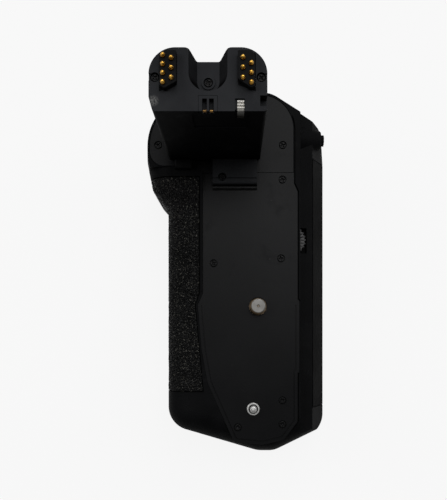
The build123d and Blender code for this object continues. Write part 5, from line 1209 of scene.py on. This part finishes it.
@dataclass
class WheelRibs:
    """Worn ribs on the thumbwheel's upper rim, seen in its window."""

    centre: tuple = (27.13, -13.7)
    low: float = -3.6
    top: float = -2.14
    height: float = 0.4
    width: float = 0.62
    reach: tuple = (4.0, 4.2, 5.57, 5.9, 6.02)
    heights: tuple = (0.55, 1.0, 1.0, 0.86, 0.6)
    count: int = 24
    start: float = 1.65

    def rib(self, degrees: float) -> tuple:
        """One rib: a round-topped ridge (half an ellipse) run outwards, falling at its end.

        Args:
            degrees: Where the rib stands on the wheel.

        Returns:
            Points and faces.
        """
        turn = np.linspace(0, math.pi, 9)
        across, rise = 0.5 * self.width * np.cos(turn), np.sin(turn)
        height = np.array(self.heights)[:, None] * rise[None] * self.height
        rows = np.stack([np.broadcast_to(np.array(self.reach)[:, None], height.shape),
                         np.broadcast_to(across[None], height.shape),
                         height + self.top - self.height], axis=-1)
        foot = rows.copy()
        foot[..., 2] = self.low
        points = np.concatenate([rows.reshape(-1, 3), foot[:, [0, -1]].reshape(-1, 3)])
        count, wide = height.shape
        faces = [tuple(f) for f in grid_faces(count, wide)]
        base = count * wide
        for i in range(count - 1):
            left, right, under = i * wide, i * wide + wide - 1, base + 2 * i
            faces.append((left, left + wide, under + 2, under))
            faces.append((right + wide, right, under + 1, under + 3))
        faces.append(tuple(range(wide))[::-1] + (base, base + 1))
        end = base + 2 * count
        faces.append(tuple(range(base - wide, base)) + (end - 1, end - 2))
        angle = math.radians(degrees)
        spin = np.array([[math.cos(angle), math.sin(angle), 0],
                         [-math.sin(angle), math.cos(angle), 0], [0, 0, 1]])
        return moved(points @ spin, (*self.centre, 0)), faces

    def pieces(self) -> list:
        """All ribs as one piece."""
        mesh = merged([self.rib(self.start + 360 / self.count * i) for i in range(self.count)])
        return [Piece("wheel_rib_ring", mesh, "wheel_ribs", "wheel")]


@dataclass
class LocatingPin:
    """Polished stepped pin with a groove round its foot."""

    place: tuple = (-41.7, 1.9, 0)
    steps: int = 96
    profile: tuple = (
        (0, 3.38), (0.4, 3.36), (0.62, 3.28), (0.8, 3.02), (0.95, 2.98), (1.2, 2.9), (1.4, 2.6),
        (1.48, 2.3), (1.48, -0.7), (1.5, -0.8), (1.86, -0.8), (1.88, -0.7), (1.9, 0.5),
        (1.98, 0.6), (2.35, 0.6), (2.5, 0.52), (2.58, 0.38), (2.58, -1.98), (2.98, -2.02),
        (2.98, -3.18), (0, -3.2))

    def pieces(self) -> list:
        """The pin, its profile turned about its axis."""
        points, faces = closed_turning(np.array(self.profile), self.steps)
        return [Piece("stepped_pin", (moved(points, self.place), faces), "pin_steel", "grip",
                      "locating_pin", "steel", Shade.FLAT)]


@dataclass
class AttachmentScrew:
    """Captive screw with a real helical thread."""

    radius: float = 3.17
    root: float = 2.55
    pitch: float = 1.27
    height: float = 4.6
    thread_low: float = -1.8
    flange: float = 4.6
    crest: float = 1.25
    blunt: float = 0.08
    chamfer: float = 0.5
    dish: float = 0.32
    foot: float = -12.2
    steps: int = 96
    rows: int = 110

    def thread(self) -> np.ndarray:
        """Rings of the stud, from the top down.

        The radius at height z and turn t is the root radius plus the depth times a blunt
        triangle wave of z / pitch - t / (2 pi), held under the tip's chamfer.

        Returns:
            Points as (rows, steps, 3).
        """
        turn = np.linspace(0, FULL_TURN, self.steps, endpoint=False)[None]
        height = np.linspace(self.thread_low, self.height - 0.04, self.rows)[::-1, None]
        phase = (height / self.pitch - turn / FULL_TURN) % 1.0
        wave = np.clip(self.crest * (1 - np.abs(2 * phase - 1)) - self.blunt, 0, 1)
        radius = self.root + (self.radius - self.root) * wave
        past = np.clip((height - (self.height - self.chamfer)) / self.chamfer, 0, 1)
        radius = np.minimum(radius, self.radius - self.chamfer * past)
        return np.stack([radius * np.cos(turn), radius * np.sin(turn), height + 0 * turn], axis=-1)

    def pieces(self) -> list:
        """The threaded stud with its dished top, and the flange and shaft below."""
        top = self.height
        dish = [(0.3, top - self.dish), (0.4, top - 0.3), (0.56, top - 0.05), (0.62, top),
                (self.radius - self.chamfer - 0.12, top)]
        shaft = [(2.9, -1.9), (2.9, -2.3), (self.flange, -2.32), (self.flange, -3.18),
                 (2.9, -3.2), (2.9, -12.1), (2.7, self.foot)]
        rings = np.concatenate([turned_points(np.array(dish), self.steps), self.thread(),
                                turned_points(np.array(shaft), self.steps)])
        mesh = closed_rings(rings, top - self.dish, self.foot)
        return [Piece("threaded_screw", mesh, "screw_nickel", "screw_drive", "attachment_screw",
                      "nickel", Shade.FLAT)]


# Studio

@dataclass
class Studio:
    """Camera over the grip, pale floor and soft lights."""

    above: tuple = (-11.63, 9.72, 264.5)
    focal: float = 650.7
    image: tuple = (447, 500)
    nadir: tuple = (234.0, 335.0)
    floor_z: float = -47.1
    floor_half: float = 4000.0
    floor_grey: float = 0.5
    floor_white: float = 0.985
    white_share: float = 0.9
    world: float = 0.13
    lamps: tuple = (
        ("left_softbox", (0.3, 0.8, 0.9), 4.8, 0.6),
        ("right_softbox", (0.35, -0.8, 0.9), 3.4, 0.6),
        ("head_softbox", (1.0, -0.15, 0.9), 4.8, 0.5),
        ("top_softbox", (0.35, -0.1, 1.2), 6.0, 0.5),
    )

    def camera(self) -> None:
        """Looks straight down with the picture's up along +X."""
        data = bpy.data.cameras.new("photo_camera")
        data.sensor_fit = "AUTO"
        data.sensor_width = 36.0
        longest = max(self.image)
        data.lens = self.focal / longest * data.sensor_width
        data.shift_x = -(self.nadir[0] - self.image[0] / 2) / longest
        data.shift_y = (self.nadir[1] - self.image[1] / 2) / longest
        data.clip_start, data.clip_end = 0.01, 20.0
        camera = bpy.data.objects.new("photo_camera", data)
        camera.location = tuple(v * MM for v in self.above)
        camera.rotation_euler = (0, 0, -math.pi / 2)
        bpy.context.scene.collection.objects.link(camera)
        bpy.context.scene.camera = camera

    def floor(self) -> None:
        """Lays a wide floor that looks white and keeps a soft shadow.

        Most of what the camera, reflections and clear parts see of it is plain white, and the
        rest is matt grey, which takes the light and the shadow.
        """
        half, z = self.floor_half, self.floor_z - 0.02
        corners = np.array([(-half, -half, z), (half, -half, z), (half, half, z), (-half, half, z)])
        floor = Piece("floor", (corners, [(0, 1, 2, 3)])).add()
        material = bpy.data.materials.new("pale_floor")
        material.use_nodes = True
        made = Nodes(material.node_tree)
        made.tree.nodes.remove(made.tree.nodes["Principled BSDF"])
        matt = made.add("BsdfDiffuse", {"Color": (*[self.floor_grey] * 3, 1)})
        glow = made.add("Emission", {"Color": (*[self.floor_white] * 3, 1)})
        ray = made.add("LightPath", {}).outputs
        seen = made.calculate("MAXIMUM", ray["Is Camera Ray"], ray["Is Glossy Ray"])
        seen = made.calculate("MAXIMUM", seen, ray["Is Transmission Ray"])
        share = made.calculate("MULTIPLY", seen, self.white_share)
        mix = made.add("MixShader", {0: share, 1: matt.outputs[0], 2: glow.outputs[0]})
        made.feed(made.tree.nodes["Material Output"], {"Surface": mix.outputs[0]})
        floor.data.materials.append(material)

    def lamp(self, name: str, place: tuple, power: float, size: float) -> None:
        """Adds a square area lamp that looks at the grip's middle.

        Args:
            name: The lamp's name.
            place: Where it stands, in metres.
            power: Watts.
            size: Side in metres.
        """
        data = bpy.data.lights.new(name, "AREA")
        data.energy = power
        data.size = size
        lamp = bpy.data.objects.new(name, data)
        lamp.location = place
        x, y, z = place
        lamp.rotation_euler = (math.atan2(math.hypot(x, y), z), 0, math.atan2(x, -y))
        bpy.context.scene.collection.objects.link(lamp)

    def light(self) -> None:
        """Even world light with soft lamps from the sides."""
        world = bpy.data.worlds.new("studio_world")
        bpy.context.scene.world = world
        world.use_nodes = True
        made = Nodes(world.node_tree)
        made.feed(made.tree.nodes["Background"], {0: (1, 1, 1, 1), 1: self.world})
        for lamp in self.lamps:
            self.lamp(*lamp)

    def build(self) -> None:
        """Sets up camera, floor, lights and the plain view transform."""
        bpy.context.scene.view_settings.view_transform = "Standard"
        self.camera()
        self.floor()
        self.light()


def main() -> None:
    """Builds the studio, dresses the nodes and makes the detailed pieces."""
    logging.basicConfig(level=logging.INFO, format="%(message)s")
    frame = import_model()
    Studio().build()
    finishes = Finishes()
    finishes.dress_nodes(frame)
    for maker in [HandGrip(), AttachmentScrew(), HeadContacts(), WheelRibs(), LocatingPin(),
                  *screw_sets(), *pin_sets()]:
        for piece in maker.pieces():
            made = piece.build(finishes)
            LOG.info("piece %s: %d faces", made.name, len(made.data.polygons))


if __name__ == "__main__":
    main()
